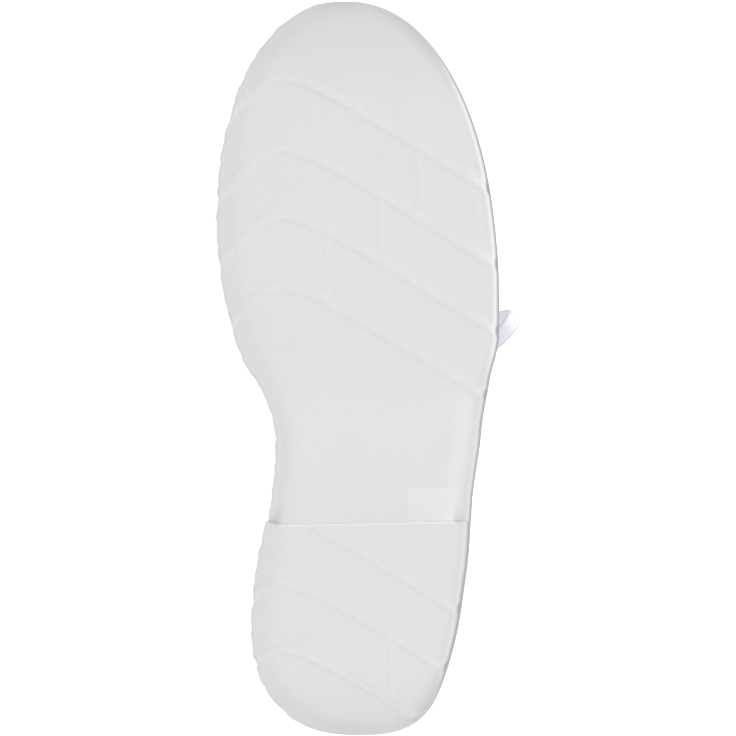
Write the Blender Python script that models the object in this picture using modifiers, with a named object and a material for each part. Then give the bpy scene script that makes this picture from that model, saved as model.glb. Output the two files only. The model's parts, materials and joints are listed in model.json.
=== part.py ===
"""White lace-up safety shoe for the left foot, lying on its inner side.

The shoe is shaped upright: x runs from heel to toe, y to the outer side and z up from the tread.
An empty then lays it on the floor.
"""

import math
from collections import namedtuple

import bmesh
import bpy
from mathutils import Matrix, Vector

# Outline of the sole
SOLE_LENGTH = 0.290
HEEL_HALF_WIDTH = 0.0409
BALL_HALF_WIDTH = 0.0548
HEEL_ROUND = 0.065
TOE_ROUND = 0.100
HEEL_SQUARENESS = 2.71
TOE_SQUARENESS = 2.14
SPINE_SHARE = 0.72

# Heights of the sole
TOE_SPRING = 0.012
TOE_SPRING_START = 0.222
HEEL_BEVEL = 0.006
HEEL_BEVEL_LENGTH = 0.016
ARCH_HEIGHT = 0.0075
HEEL_BREAST = 0.0845
FOREFOOT_START = 0.141

# Tread grooves
GROOVE_WIDTH = 0.0032
GROOVE_DEPTH = 0.0020
CREST_FROM_MIDDLE = -0.0300
INNER_FALL = 1.20
OUTER_FALL = 0.62
CREST_ROUNDING = 0.012
FOREFOOT_CRESTS = (0.2590, 0.2311, 0.2050, 0.1770)
HEEL_CRESTS = (0.0860, 0.0600, 0.0340)

# Walls and gaps
GAP = 0.0003
LIP_THICKNESS = 0.0034
WALL = 0.0021
COLLAR_PAD = 0.0070
INSOLE_THICKNESS = 0.0040
TONGUE_THICKNESS = 0.0038
STAY_THICKNESS = 0.0012
EYELET_RADIUS = 0.0031
EYELET_RIM = 0.0011
EYELET_HEIGHT = 0.0007
LACE_WIDTH = 0.0065
LACE_THICKNESS = 0.0014
LACE_CORD = 0.0030
KNOT_SIZE = (0.0064, 0.0072, 0.0042)
WELD = 2e-5

# Mesh fineness
ROUND_STEPS = 72
WALL_STEPS = 12

Waist = namedtuple("Waist", "from_heel half_width")
WAIST = (
    Waist(0.065, HEEL_HALF_WIDTH),
    Waist(0.097, 0.0390),
    Waist(0.120, 0.0402),
    Waist(0.139, 0.0454),
    Waist(0.158, 0.0520),
    Waist(0.190, BALL_HALF_WIDTH),
)

# Middle of the sole, and the ridge of the upper above it
Middle = namedtuple("Middle", "from_heel sole ridge")
MIDDLE = (
    Middle(0.000, -0.0007, -0.0007),
    Middle(0.025, -0.0036, -0.0020),
    Middle(0.050, -0.0018, -0.0008),
    Middle(0.091, 0.0038, 0.0010),
    Middle(0.120, 0.0068, 0.0000),
    Middle(0.148, 0.0036, -0.0020),
    Middle(0.170, 0.0009, -0.0030),
    Middle(0.195, -0.0013, -0.0035),
    Middle(0.240, -0.0040, -0.0042),
    Middle(0.290, -0.0068, -0.0068),
)

Height = namedtuple("Height", "from_heel footbed lip")
HEIGHT = (
    Height(0.000, 0.0235, 0.0350),
    Height(0.060, 0.0225, 0.0330),
    Height(0.105, 0.0195, 0.0305),
    Height(0.150, 0.0150, 0.0265),
    Height(0.200, 0.0125, 0.0240),
    Height(0.245, 0.0150, 0.0270),
    Height(0.290, 0.0215, 0.0345),
)

# Side wall of the sole from the tread up: a share of the height to the lip plus a lift
Side = namedtuple("Side", "inset lift share")
SIDE = (
    Side(0.0060, 0.0000, 0.00),
    Side(0.0024, 0.0010, 0.00),
    Side(0.0006, 0.0034, 0.00),
    Side(0.0000, 0.0000, 0.40),
    Side(0.0000, 0.0000, 0.52),
    Side(0.0011, 0.0000, 0.55),
    Side(0.0011, 0.0000, 0.61),
    Side(0.0003, 0.0000, 0.64),
    Side(0.0009, 0.0000, 0.92),
    Side(0.0018, 0.0000, 1.00),
)

# Upper edge of the wall over each station of the outline. Reach is where that edge stands along the
# shoe, open its share of the half width left open, lean the wall's slope there (90 lies flat).
Section = namedtuple("Section", "from_heel reach open height lean side crown")
SECTIONS = (
    Section(0.000, 0.0100, 0.80, 0.0800, 0, 0.42, 0.36),
    Section(0.015, 0.0220, 0.80, 0.0775, 1, 0.42, 0.36),
    Section(0.040, 0.0430, 0.81, 0.0705, 4, 0.42, 0.36),
    Section(0.066, 0.0670, 0.82, 0.0660, 7, 0.42, 0.36),
    Section(0.092, 0.0930, 0.82, 0.0675, 11, 0.42, 0.36),
    Section(0.114, 0.1155, 0.77, 0.0755, 20, 0.43, 0.38),
    Section(0.130, 0.1315, 0.67, 0.0850, 32, 0.45, 0.42),
    Section(0.141, 0.1420, 0.57, 0.0910, 43, 0.47, 0.46),
    Section(0.150, 0.1500, 0.47, 0.0910, 52, 0.49, 0.49),
    Section(0.165, 0.1650, 0.34, 0.0830, 62, 0.53, 0.53),
    Section(0.182, 0.1810, 0.25, 0.0735, 71, 0.56, 0.56),
    Section(0.200, 0.1970, 0.17, 0.0655, 80, 0.59, 0.59),
    Section(0.213, 0.2070, 0.00, 0.0622, 90, 0.61, 0.61),
    Section(0.240, 0.2240, 0.00, 0.0598, 90, 0.65, 0.64),
    Section(0.270, 0.2420, 0.00, 0.0588, 90, 0.70, 0.66),
    Section(0.290, 0.2530, 0.00, 0.0575, 90, 0.72, 0.67),
)
THROAT = 0.213
SOFTENING = 0.005
SOFT_WEIGHTS = ((-2, 0.1), (-1, 0.24), (0, 0.32), (1, 0.24), (2, 0.1))

# Tongue from under the vamp to its free top: rim is where its crown begins on the wall, tuck where
# its wing ends, rise how far it runs on past the facing, slim its width there.
Flap = namedtuple("Flap", "share from_heel rim tuck rise slim")
FLAP = (
    Flap(0.00, 0.2180, 0.84, 0.74, 0.0000, 1.00),
    Flap(0.15, 0.2060, 0.88, 0.72, 0.0000, 1.00),
    Flap(0.50, 0.1800, 0.95, 0.72, 0.0000, 1.00),
    Flap(0.70, 0.1620, 0.97, 0.82, 0.0000, 1.00),
    Flap(0.80, 0.1530, 0.97, 0.94, 0.0000, 0.92),
    Flap(0.86, 0.1510, 0.97, 0.94, 0.0050, 0.82),
    Flap(1.00, 0.1500, 0.97, 0.94, 0.0200, 0.80),
)
FLAP_RISE = Vector((-0.84, 0.0, 0.543))

# Facing round the throat: a U in plan from its nose back to the collar
STAY_NOSE = 0.2235
STAY_TOP = 0.1470
STAY_ROUND = 0.0455
STAY_SQUARENESS = 2.3
STAY_HALF_WIDTH = 0.0370
STAY_TAPER = 0.195

# Eyelets from the front up, on the middle of the band
EYELET_STATIONS = (0.1960, 0.1825, 0.1690, 0.1555)
EYELET_ACROSS = 0.75

# Free lace over the throat: across as in bridge_point, height above the wall
Run = namedtuple("Run", "from_heel across height")
OUTER_LOOP = (
    Run(0.1555, 0.13, 0.0096),
    Run(0.1555, 0.42, 0.0080),
    Run(0.1538, 0.66, 0.0078),
    Run(0.1523, 0.88, 0.0074),
    Run(0.1527, 1.09, 0.0084),
    Run(0.1556, 1.25, 0.0112),
    Run(0.1584, 1.31, 0.0150),
    Run(0.1586, 1.20, 0.0184),
    Run(0.1573, 1.02, 0.0176),
    Run(0.1562, 0.82, 0.0156),
    Run(0.1558, 0.62, 0.0144),
    Run(0.1550, 0.40, 0.0138),
    Run(0.1546, 0.12, 0.0132),
)
INNER_LOOP = (
    Run(0.1555, -0.145, 0.0096),
    Run(0.1590, -0.42, 0.0082),
    Run(0.1640, -0.62, 0.0080),
    Run(0.1700, -0.78, 0.0074),
    Run(0.1760, -0.90, 0.0068),
    Run(0.1810, -0.98, 0.0080),
    Run(0.1800, -0.92, 0.0118),
    Run(0.1740, -0.78, 0.0138),
    Run(0.1670, -0.62, 0.0144),
    Run(0.1600, -0.40, 0.0142),
    Run(0.1545, -0.13, 0.0132),
)
OUTER_END = (
    Run(0.1605, 0.06, 0.0100),
    Run(0.1700, 0.26, 0.0088),
    Run(0.1770, 0.46, 0.0082),
    Run(0.1840, 0.72, 0.0076),
    Run(0.1900, 0.98, 0.0068),
    Run(0.1950, 1.20, 0.0060),
)
INNER_END = (
    Run(0.1605, -0.06, 0.0100),
    Run(0.1720, -0.16, 0.0090),
    Run(0.1810, -0.30, 0.0086),
    Run(0.1880, -0.50, 0.0080),
    Run(0.1940, -0.74, 0.0074),
    Run(0.1985, -0.98, 0.0062),
)

Finish = namedtuple("Finish", "colour roughness")
SOLE_FINISH = Finish((0.78, 0.78, 0.78, 1.0), 0.55)
UPPER_FINISH = Finish((0.84, 0.84, 0.86, 1.0), 0.45)
INSOLE_FINISH = Finish((0.62, 0.63, 0.65, 1.0), 0.90)
STAY_FINISH = Finish((0.82, 0.82, 0.84, 1.0), 0.45)
EYELET_FINISH = Finish((0.74, 0.74, 0.76, 1.0), 0.35)
LACE_FINISH = Finish((0.86, 0.86, 0.89, 1.0), 0.85)
TONGUE_FINISH = Finish((0.80, 0.80, 0.82, 1.0), 0.70)


def track(rows, column, flat_ends=False):
    """Smooth curve through one column of a table that doesn't overshoot between its rows."""
    places = [row[0] for row in rows]
    values = [getattr(row, column) for row in rows]
    climbs = [
        (values[i + 1] - values[i]) / (places[i + 1] - places[i]) for i in range(len(rows) - 1)
    ]
    slopes = [0.0 if flat_ends else climbs[0]]
    for before, after in zip(climbs, climbs[1:]):
        slopes.append(2 * before * after / (before + after) if before * after > 0 else 0.0)
    slopes.append(0.0 if flat_ends else climbs[-1])

    def at(place):
        place = min(max(place, places[0]), places[-1])
        i = 0
        while i < len(climbs) - 1 and place > places[i + 1]:
            i += 1
        span = places[i + 1] - places[i]
        t = (place - places[i]) / span
        return (
            values[i] * (1 + 2 * t) * (1 - t) ** 2
            + slopes[i] * span * t * (1 - t) ** 2
            + values[i + 1] * t * t * (3 - 2 * t)
            + slopes[i + 1] * span * t * t * (t - 1)
        )

    return at


def softened(curve):
    """The same curve with its turns eased over a few centimetres."""
    return lambda place: sum(
        weight * curve(place + SOFTENING * step) for step, weight in SOFT_WEIGHTS
    )


waist_half_width = track(WAIST, "half_width", flat_ends=True)
sole_middle = track(MIDDLE, "sole")
ridge_middle = track(MIDDLE, "ridge")
footbed_height = track(HEIGHT, "footbed")
lip_height = track(HEIGHT, "lip")
edge_reach = softened(track(SECTIONS, "reach"))
edge_open = track(SECTIONS, "open")
edge_height = softened(track(SECTIONS, "height"))
edge_lean = softened(track(SECTIONS, "lean"))
side_fullness = softened(track(SECTIONS, "side"))
crown_fullness = softened(track(SECTIONS, "crown"))
flap_station = track(FLAP, "from_heel")
flap_rim = track(FLAP, "rim")
flap_tuck = track(FLAP, "tuck")
flap_rise = track(FLAP, "rise")
flap_slim = track(FLAP, "slim")


def rounded_end(share, squareness):
    return (1 - min(share, 1.0) ** squareness) ** (1 / squareness)


def half_width(station):
    if station < HEEL_ROUND:
        return HEEL_HALF_WIDTH * rounded_end(1 - station / HEEL_ROUND, HEEL_SQUARENESS)
    toe_start = SOLE_LENGTH - TOE_ROUND
    if station > toe_start:
        return BALL_HALF_WIDTH * rounded_end((station - toe_start) / TOE_ROUND, TOE_SQUARENESS)
    return waist_half_width(station)


def station_of(turn):
    """Distance from the heel at an angle round the outline: 0 is the toe, pi the heel."""
    return SOLE_LENGTH * (1 + math.cos(turn)) / 2


def turn_of(station):
    return math.acos(2 * station / SOLE_LENGTH - 1)


def outline(turn, inset=0.0):
    """Point of the sole's plan outline, moved in by an inset square to it."""

    def edge(angle):
        station = station_of(angle)
        width = half_width(station)
        return Vector((station, sole_middle(station) + math.copysign(width, math.sin(angle))))

    along = edge(turn + 0.004) - edge(turn - 0.004)
    return edge(turn) + Vector((-along.y, along.x)).normalized() * inset


def spine(turn):
    """Point of the middle line that faces a point of the outline."""
    half = SOLE_LENGTH / 2
    station = half + (station_of(turn) - half) * SPINE_SHARE
    return Vector((station, sole_middle(station)))


def bezier(start, first, second, end, share):
    rest = 1 - share
    return (
        start * rest**3
        + first * 3 * rest**2 * share
        + second * 3 * rest * share**2
        + end * share**3
    )


def bisect(low, high, before):
    """Value between two others where a test stops being true."""
    for _ in range(40):
        middle = (low + high) / 2
        if before(middle):
            low = middle
        else:
            high = middle
    return low


def tread_height(station):
    toe = max(0.0, (station - TOE_SPRING_START) / (SOLE_LENGTH - TOE_SPRING_START))
    heel = max(0.0, 1 - station / HEEL_BEVEL_LENGTH)
    return TOE_SPRING * toe**2 + HEEL_BEVEL * heel**2


def wall_point(turn, share, inset=LIP_THICKNESS + GAP):
    """Point of the upper's outer face, from the footbed (share 0) to its upper edge (share 1)."""
    station = station_of(turn)
    foot = outline(turn, inset)
    low = Vector((foot.x, foot.y, footbed_height(foot.x) + GAP))
    reach = edge_reach(station)
    ridge = ridge_middle(reach)
    high = Vector((reach, ridge + edge_open(station) * (foot.y - ridge), edge_height(station)))
    inward = Vector((high.x - low.x, high.y - low.y, 0.0))
    width = inward.length
    inward.normalize()
    rise = high.z - low.z
    lean = math.radians(edge_lean(station))
    heading = inward * math.sin(lean) + Vector((0, 0, math.cos(lean)))
    pull = crown_fullness(station) * (width * math.sin(lean) + rise * math.cos(lean))
    first = low + Vector((0, 0, side_fullness(station) * rise))
    return bezier(low, first, high - heading * pull, high, share)


def wall_normal(turn, share):
    """Outward direction of the upper's face, the same from both sides along its closed ridge."""
    step = 0.01
    across = wall_point(turn + step, share) - wall_point(turn - step, share)
    if share + step > 1 and station_of(turn) > THROAT:
        ahead = wall_point(-turn, 2 - share - step)
    else:
        ahead = wall_point(turn, min(share + step, 1))
    return across.cross(ahead - wall_point(turn, max(share - step, 0))).normalized()


def wall_at_height(turn, height):
    share = bisect(0.0, 1.0, lambda place: wall_point(turn, place).z < height)
    return wall_point(turn, share)


def bridge_point(station, across, height, rim=1.0, tuck=0.76):
    """Point over the throat: across 0 is its middle, 0.5 the rim on the wall and 1 the tuck."""
    turn = turn_of(station)

    def beside(side, place):
        return wall_point(side * turn, place) + wall_normal(side * turn, place) * height

    if abs(across) >= 0.5:
        return beside(math.copysign(1, across), rim + (tuck - rim) * (abs(across) - 0.5) * 2)
    ends = [beside(side, rim) for side in (-1, 1)]
    leads = [ends[i] - beside(side, rim - 0.03) for i, side in enumerate((-1, 1))]
    handle = (ends[1] - ends[0]).length * 0.36
    first = ends[0] + leads[0].normalized() * handle
    second = ends[1] + leads[1].normalized() * handle
    return bezier(ends[0], first, second, ends[1], across + 0.5)


def flap_point(share, across):
    """Point of the tongue's upper face, from its front (share 0) to its top, and across -1 to 1."""
    depth = WALL + 4 * GAP
    point = bridge_point(flap_station(share), across, -depth, flap_rim(share), flap_tuck(share))
    ridge = ridge_middle(point.x)
    point.y = ridge + (point.y - ridge) * flap_slim(share)
    return point + FLAP_RISE * flap_rise(share)


def clear_scene():
    for found in list(bpy.data.objects):
        bpy.data.objects.remove(found, do_unlink=True)


def collection(name):
    made = bpy.data.collections.new(name)
    bpy.context.scene.collection.children.link(made)
    return made


def material(name, finish):
    made = bpy.data.materials.new(name)
    made.use_nodes = True
    shader = made.node_tree.nodes["Principled BSDF"]
    shader.inputs["Base Color"].default_value = finish.colour
    shader.inputs["Roughness"].default_value = finish.roughness
    made.diffuse_color = finish.colour
    return made


def add_sheet(mesh, columns, rows, place):
    """Grid of faces whose points are set by a function of two shares."""
    made = bmesh.ops.create_grid(mesh, x_segments=columns, y_segments=rows, size=0.5)
    for vertex in made["verts"]:
        vertex.co = place(vertex.co.x + 0.5, vertex.co.y + 0.5)


def finish_object(mesh, name, home, finish=None):
    """Object from a working mesh, with the points that coincide joined."""
    bmesh.ops.remove_doubles(mesh, verts=mesh.verts, dist=WELD)
    data = bpy.data.meshes.new(name)
    mesh.to_mesh(data)
    mesh.free()
    made = bpy.data.objects.new(name, data)
    home.objects.link(made)
    if finish:
        data.materials.append(material(name, finish))
    return made


def thicken(target, thickness, offset=-1.0, group=None, least=0.0):
    shell = target.modifiers.new("wall", "SOLIDIFY")
    shell.thickness = thickness
    shell.offset = offset
    shell.use_even_offset = True
    shell.use_quality_normals = True
    if group:
        shell.vertex_group = group
        shell.thickness_vertex_group = least


def cut(target, cutters):
    hole = target.modifiers.new("cut", "BOOLEAN")
    hole.operation = "DIFFERENCE"
    hole.solver = "EXACT"
    hole.operand_type = "COLLECTION"
    hole.collection = cutters


def add_cutter(name, home, segments, roof, depth):
    """Cutting block under a strip: roof gives the strip's points by share along and across."""
    mesh = bmesh.new()
    add_sheet(mesh, segments, 1, roof)
    grown = bmesh.ops.extrude_face_region(mesh, geom=mesh.faces[:])
    moved = [item for item in grown["geom"] if isinstance(item, bmesh.types.BMVert)]
    for vertex in moved:
        vertex.co.z = -depth
    bmesh.ops.recalc_face_normals(mesh, faces=mesh.faces[:])
    made = finish_object(mesh, name, home)
    made.hide_render = True
    made.display_type = "WIRE"
    return made


def wave(crest, across):
    """Station of a tread groove: it rises from the inner edge to its crest, then falls outwards."""
    away = across - CREST_FROM_MIDDLE
    soft = math.hypot(away, CREST_ROUNDING) - CREST_ROUNDING
    fall = OUTER_FALL if away > 0 else INNER_FALL
    return crest - fall * soft


def add_groove(name, home, crest, inner, outer):
    def roof(along, over):
        across = inner + (outer - inner) * along
        step = 0.0005
        lean = (wave(crest, across + step) - wave(crest, across - step)) / (2 * step)
        middle = Vector((wave(crest, across), across))
        square = Vector((1.0, -lean)).normalized() * GROOVE_WIDTH * (over - 0.5)
        point = middle + square
        return Vector((point.x, point.y, tread_height(point.x) + GROOVE_DEPTH))

    return add_cutter(name, home, 22, roof, 0.006)


def add_arch(home):
    def roof(along, over):
        station = HEEL_BREAST + (FOREFOOT_START - HEEL_BREAST) * along
        height = (ARCH_HEIGHT + 0.001) * (1 + math.cos(math.pi * along)) / 2 - 0.001
        return Vector((station, 0.16 * (over - 0.5), height))

    return add_cutter("arch_cutter", home, 10, roof, 0.010)


def build_outsole(home, cutters):
    under = 2
    inside = 3
    over = 2
    rings = under + len(SIDE) + inside + over

    def place(round_share, through_share):
        turn = 2 * math.pi * round_share
        ring = round(through_share * rings)
        middle = spine(turn)
        if ring <= under:
            edge = outline(turn, SIDE[0].inset)
            point = middle.lerp(edge, ring / under)
            return Vector((point.x, point.y, tread_height(point.x)))
        if ring < under + len(SIDE):
            row = SIDE[ring - under]
            point = outline(turn, row.inset)
            low = tread_height(point.x)
            height = low + row.lift + row.share * (lip_height(point.x) - low)
            return Vector((point.x, point.y, height))
        edge = outline(turn, LIP_THICKNESS)
        floor = footbed_height(edge.x)
        lowered = ring - under - len(SIDE)
        if lowered < inside:
            outer = outline(turn, SIDE[-1].inset)
            height = lip_height(outer.x) + (floor - lip_height(outer.x)) * lowered / inside
            wall = wall_at_height(turn, height)
            away = (outer - wall.xy).normalized() * GAP
            return Vector((wall.x + away.x, wall.y + away.y, height))
        point = edge.lerp(middle, (lowered - inside) / over)
        return Vector((point.x, point.y, footbed_height(point.x)))

    mesh = bmesh.new()
    add_sheet(mesh, ROUND_STEPS, rings, place)
    made = finish_object(mesh, "outsole", home, SOLE_FINISH)
    add_arch(cutters)
    for index, crest in enumerate(FOREFOOT_CRESTS):
        add_groove(f"forefoot_groove_{index}", cutters, crest, -0.075, 0.075)
    for index, crest in enumerate(HEEL_CRESTS):
        add_groove(f"heel_groove_{index}", cutters, crest, -0.060, 0.060)
    cut(made, cutters)
    return made


def build_insole(home):
    inset = LIP_THICKNESS + 2 * GAP + WALL + 0.0005
    across = 2

    def place(round_share, through_share):
        turn = 2 * math.pi * round_share
        ring = round(through_share * (2 * across + 1))
        edge = outline(turn, inset)
        share = ring / across if ring <= across else (2 * across + 1 - ring) / across
        point = spine(turn).lerp(edge, share)
        height = footbed_height(point.x) + GAP
        if ring > across:
            height += INSOLE_THICKNESS
        return Vector((point.x, point.y, height))

    mesh = bmesh.new()
    add_sheet(mesh, ROUND_STEPS, 2 * across + 1, place)
    return finish_object(mesh, "insole", home, INSOLE_FINISH)


def build_upper(home):
    mesh = bmesh.new()
    add_sheet(
        mesh, ROUND_STEPS, WALL_STEPS, lambda around, up: wall_point(2 * math.pi * around, up)
    )
    made = finish_object(mesh, "upper", home, UPPER_FINISH)
    padding = made.vertex_groups.new(name="padding")
    for vertex in made.data.vertices:
        back = min(max((0.150 - vertex.co.x) / 0.030, 0), 1)
        high = min(max((vertex.co.z - 0.048) / 0.016, 0), 1)
        padding.add([vertex.index], back * high, "REPLACE")
    thicken(made, COLLAR_PAD, group="padding", least=WALL / COLLAR_PAD)
    return made


def build_tongue(home):
    mesh = bmesh.new()
    add_sheet(mesh, 12, 10, lambda along, over: flap_point(along, 1 - 2 * over))
    made = finish_object(mesh, "tongue", home, TONGUE_FINISH)
    thicken(made, TONGUE_THICKNESS)
    return made


def outside_stay(point):
    """Whether a point of the wall lies outside the facing's plan."""
    full = STAY_HALF_WIDTH - STAY_TAPER * (point.x - STAY_TOP)
    nose = rounded_end(max(0.0, 1 - (STAY_NOSE - point.x) / STAY_ROUND), STAY_SQUARENESS)
    return abs(point.y - ridge_middle(point.x)) > full * nose


def build_eyestay(home):
    """Facing laid on the wall's outer face, its two sides joined along the ridge in front."""
    front = bisect(THROAT, SOLE_LENGTH, lambda station: edge_reach(station) < STAY_NOSE)
    mesh = bmesh.new()
    for side in (1, -1):

        def place(along, up, side=side):
            back = along if side > 0 else 1 - along
            station = front - (front - STAY_TOP) * back**1.2
            turn = side * turn_of(station)
            edge = bisect(0.4, 1.0, lambda share: outside_stay(wall_point(turn, share)))
            share = edge + (1 - edge) * up
            return wall_point(turn, share) + wall_normal(turn, share) * 2 * GAP

        add_sheet(mesh, 17, 4, place)
    made = finish_object(mesh, "eyestay", home, STAY_FINISH)
    thicken(made, STAY_THICKNESS, offset=1.0)
    return made


def eyelet_seat(index, side):
    """Middle of an eyelet on the facing and the direction it faces."""
    seat = bridge_point(EYELET_STATIONS[index], side * EYELET_ACROSS, 0.0)
    face = bridge_point(EYELET_STATIONS[index], side * EYELET_ACROSS, 0.001) - seat
    return seat, face.normalized()


def build_eyelets(home):
    made = []
    for side, name in ((1, "outer"), (-1, "inner")):
        for index in range(len(EYELET_STATIONS)):
            seat, face = eyelet_seat(index, side)
            lift = 3 * GAP + STAY_THICKNESS + EYELET_HEIGHT / 2
            bpy.ops.mesh.primitive_torus_add(
                major_radius=EYELET_RADIUS,
                minor_radius=EYELET_RIM,
                major_segments=10,
                minor_segments=4,
            )
            ring = bpy.context.object
            ring.name = ring.data.name = f"eyelet_{name}_{index + 1}"
            for owner in list(ring.users_collection):
                owner.objects.unlink(ring)
            home.objects.link(ring)
            flat = Matrix.Diagonal((1, 1, EYELET_HEIGHT / (2 * EYELET_RIM), 1))
            turned = face.to_track_quat("Z", "X").to_matrix().to_4x4()
            ring.data.transform(Matrix.Translation(seat + face * lift) @ turned @ flat)
            ring.data.materials.append(material(ring.name, EYELET_FINISH))
            made.append(ring)
    return made


def lace_height(level):
    """Height of a strand's middle over the wall: clear of the eyelets, in two crossing levels."""
    clear = 4 * GAP + STAY_THICKNESS + EYELET_HEIGHT + LACE_THICKNESS / 2
    return clear + LACE_THICKNESS * (0.1 + 0.55 * level)


def add_strand(name, home, start, end, levels, hump=0.0):
    """Flat strand from one eyelet to another over the throat."""

    def middle(share):
        station = start[0] + (end[0] - start[0]) * share
        across = start[1] + (end[1] - start[1]) * share
        height = levels[0] + (levels[1] - levels[0]) * share + hump * math.sin(math.pi * share)
        return bridge_point(station, across, height)

    def place(share, over):
        ahead = middle(min(share + 0.02, 1)) - middle(max(share - 0.02, 0))
        station = start[0] + (end[0] - start[0]) * share
        across = start[1] + (end[1] - start[1]) * share
        up = bridge_point(station, across, 0.006) - bridge_point(station, across, 0.004)
        square = up.cross(ahead).normalized()
        return middle(share) + square * LACE_WIDTH * (over - 0.5)

    mesh = bmesh.new()
    add_sheet(mesh, 8, 1, place)
    made = finish_object(mesh, name, home)
    thicken(made, LACE_THICKNESS, offset=0.0)
    made.hide_render = True
    made.display_type = "WIRE"
    return made


def build_crossings(home, strands):
    """Lace from the bottom bar up to the top eyelets, its strands joined."""
    low, high = lace_height(0), lace_height(1)
    rows = EYELET_STATIONS
    near, far = -EYELET_ACROSS, EYELET_ACROSS
    for index in range(len(rows) - 1):
        pair = ((near, far, 0.0), (far, near, LACE_THICKNESS * 0.6))
        for number, (first, second, hump) in enumerate(pair):
            add_strand(
                f"strand_{index}_{number}",
                strands,
                (rows[index], first),
                (rows[index + 1], second),
                (high, low),
                hump,
            )
    add_strand("strand_top", strands, (rows[-1], near), (rows[-1], far), (high, high))
    made = add_strand("lace_crossings", home, (rows[0], near), (rows[0], far), (low, low))
    made.hide_render = False
    made.display_type = "TEXTURED"
    made.data.materials.append(material("lace_crossings", LACE_FINISH))
    joined = made.modifiers.new("joined", "BOOLEAN")
    joined.operation = "UNION"
    joined.solver = "EXACT"
    joined.operand_type = "COLLECTION"
    joined.collection = strands
    return made


def build_knot(home):
    height = lace_height(1) + LACE_THICKNESS / 2 + GAP + KNOT_SIZE[2]
    middle = bridge_point(EYELET_STATIONS[-1], 0.0, height)
    face = (bridge_point(EYELET_STATIONS[-1], 0.0, 0.02) - middle).normalized()
    bpy.ops.mesh.primitive_uv_sphere_add(segments=10, ring_count=6, radius=1.0)
    made = bpy.context.object
    made.name = made.data.name = "lace_knot"
    for owner in list(made.users_collection):
        owner.objects.unlink(made)
    home.objects.link(made)
    turned = face.to_track_quat("Z", "Y").to_matrix().to_4x4()
    sized = Matrix.Diagonal((*KNOT_SIZE, 1))
    made.data.transform(Matrix.Translation(middle) @ turned @ sized)
    made.data.materials.append(material("lace_knot", LACE_FINISH))
    return made


def through(rows, count):
    """Points along a smooth curve through the rows of a lace's run."""
    knots = [bridge_point(*row) for row in rows]
    knots = [knots[0] * 2 - knots[1], *knots, knots[-1] * 2 - knots[-2]]
    points = []
    for step in range(count):
        place = step / (count - 1) * (len(rows) - 1)
        i = min(int(place), len(rows) - 2)
        t = place - i
        a, b, c, d = knots[i : i + 4]
        bend = a * (-t + 2 * t * t - t**3) + b * (2 - 5 * t * t + 3 * t**3)
        bend += c * (t + 4 * t * t - 3 * t**3) + d * (t**3 - t * t)
        points.append(bend / 2)
    return points


def build_cord(name, home, rows):
    """Round cord along a run of the free lace."""
    route = through(rows, len(rows) + 3)
    data = bpy.data.curves.new(name, "CURVE")
    data.dimensions = "3D"
    data.bevel_depth = LACE_CORD / 2
    data.bevel_resolution = 2
    data.use_fill_caps = True
    spline = data.splines.new("POLY")
    spline.points.add(len(route) - 1)
    for point, place in zip(spline.points, route):
        point.co = (*place, 1.0)
    made = bpy.data.objects.new(name, data)
    home.objects.link(made)
    data.materials.append(material(name, LACE_FINISH))
    return made


def solid_points(target):
    """Points and triangles of a finished solid."""
    graph = bpy.context.evaluated_depsgraph_get()
    shown = target.evaluated_get(graph)
    data = shown.to_mesh()
    data.calc_loop_triangles()
    points = [shown.matrix_world @ vertex.co for vertex in data.vertices]
    corners = [tuple(piece.vertices) for piece in data.loop_triangles]
    shown.to_mesh_clear()
    return points, corners


def centre_of(solids):
    """Centre of volume of the solids."""
    total, moment = 0.0, Vector((0, 0, 0))
    for points, corners in solids:
        for a, b, c in corners:
            volume = points[a].dot(points[b].cross(points[c])) / 6
            total += volume
            moment += (points[a] + points[b] + points[c]) * volume / 4
    return moment / total


def resting_face(solids):
    """Outward direction of the face of the hull, on the inner side, that carries the centre."""
    centre = centre_of(solids)
    hull = bmesh.new()
    for points, _ in solids:
        for point in points:
            hull.verts.new(point)
    bmesh.ops.convex_hull(hull, input=hull.verts[:])
    hull.normal_update()
    best = None
    for face in hull.faces:
        if face.normal.y > -0.75:
            continue
        corners = [vertex.co.copy() for vertex in face.verts]
        foot = centre - face.normal * (centre - corners[0]).dot(face.normal)
        inside = min(
            (corners[i] - corners[i - 1]).cross(foot - corners[i - 1]).dot(face.normal)
            for i in range(len(corners))
        )
        if best is None or inside > best[0]:
            best = (inside, face.normal.copy())
    hull.free()
    return best[1]


def lay_down(root, carried):
    """Turn the shoe onto its inner side, toe to -x, with the floor's middle under it as origin."""
    bpy.context.view_layer.update()
    solids = [solid_points(item) for item in carried]
    down = resting_face(solids)
    toe = Vector((1, 0, 0))
    along = -(toe - down * toe.dot(down)).normalized()
    up = -down
    turn = Matrix((along, up.cross(along), up)).to_4x4()
    placed = [turn @ point for points, _ in solids for point in points]
    lows = [min(point[i] for point in placed) for i in range(3)]
    highs = [max(point[i] for point in placed) for i in range(3)]
    shift = Vector((-(lows[0] + highs[0]) / 2, -(lows[1] + highs[1]) / 2, -lows[2]))
    root.matrix_world = Matrix.Translation(shift) @ turn


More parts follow.
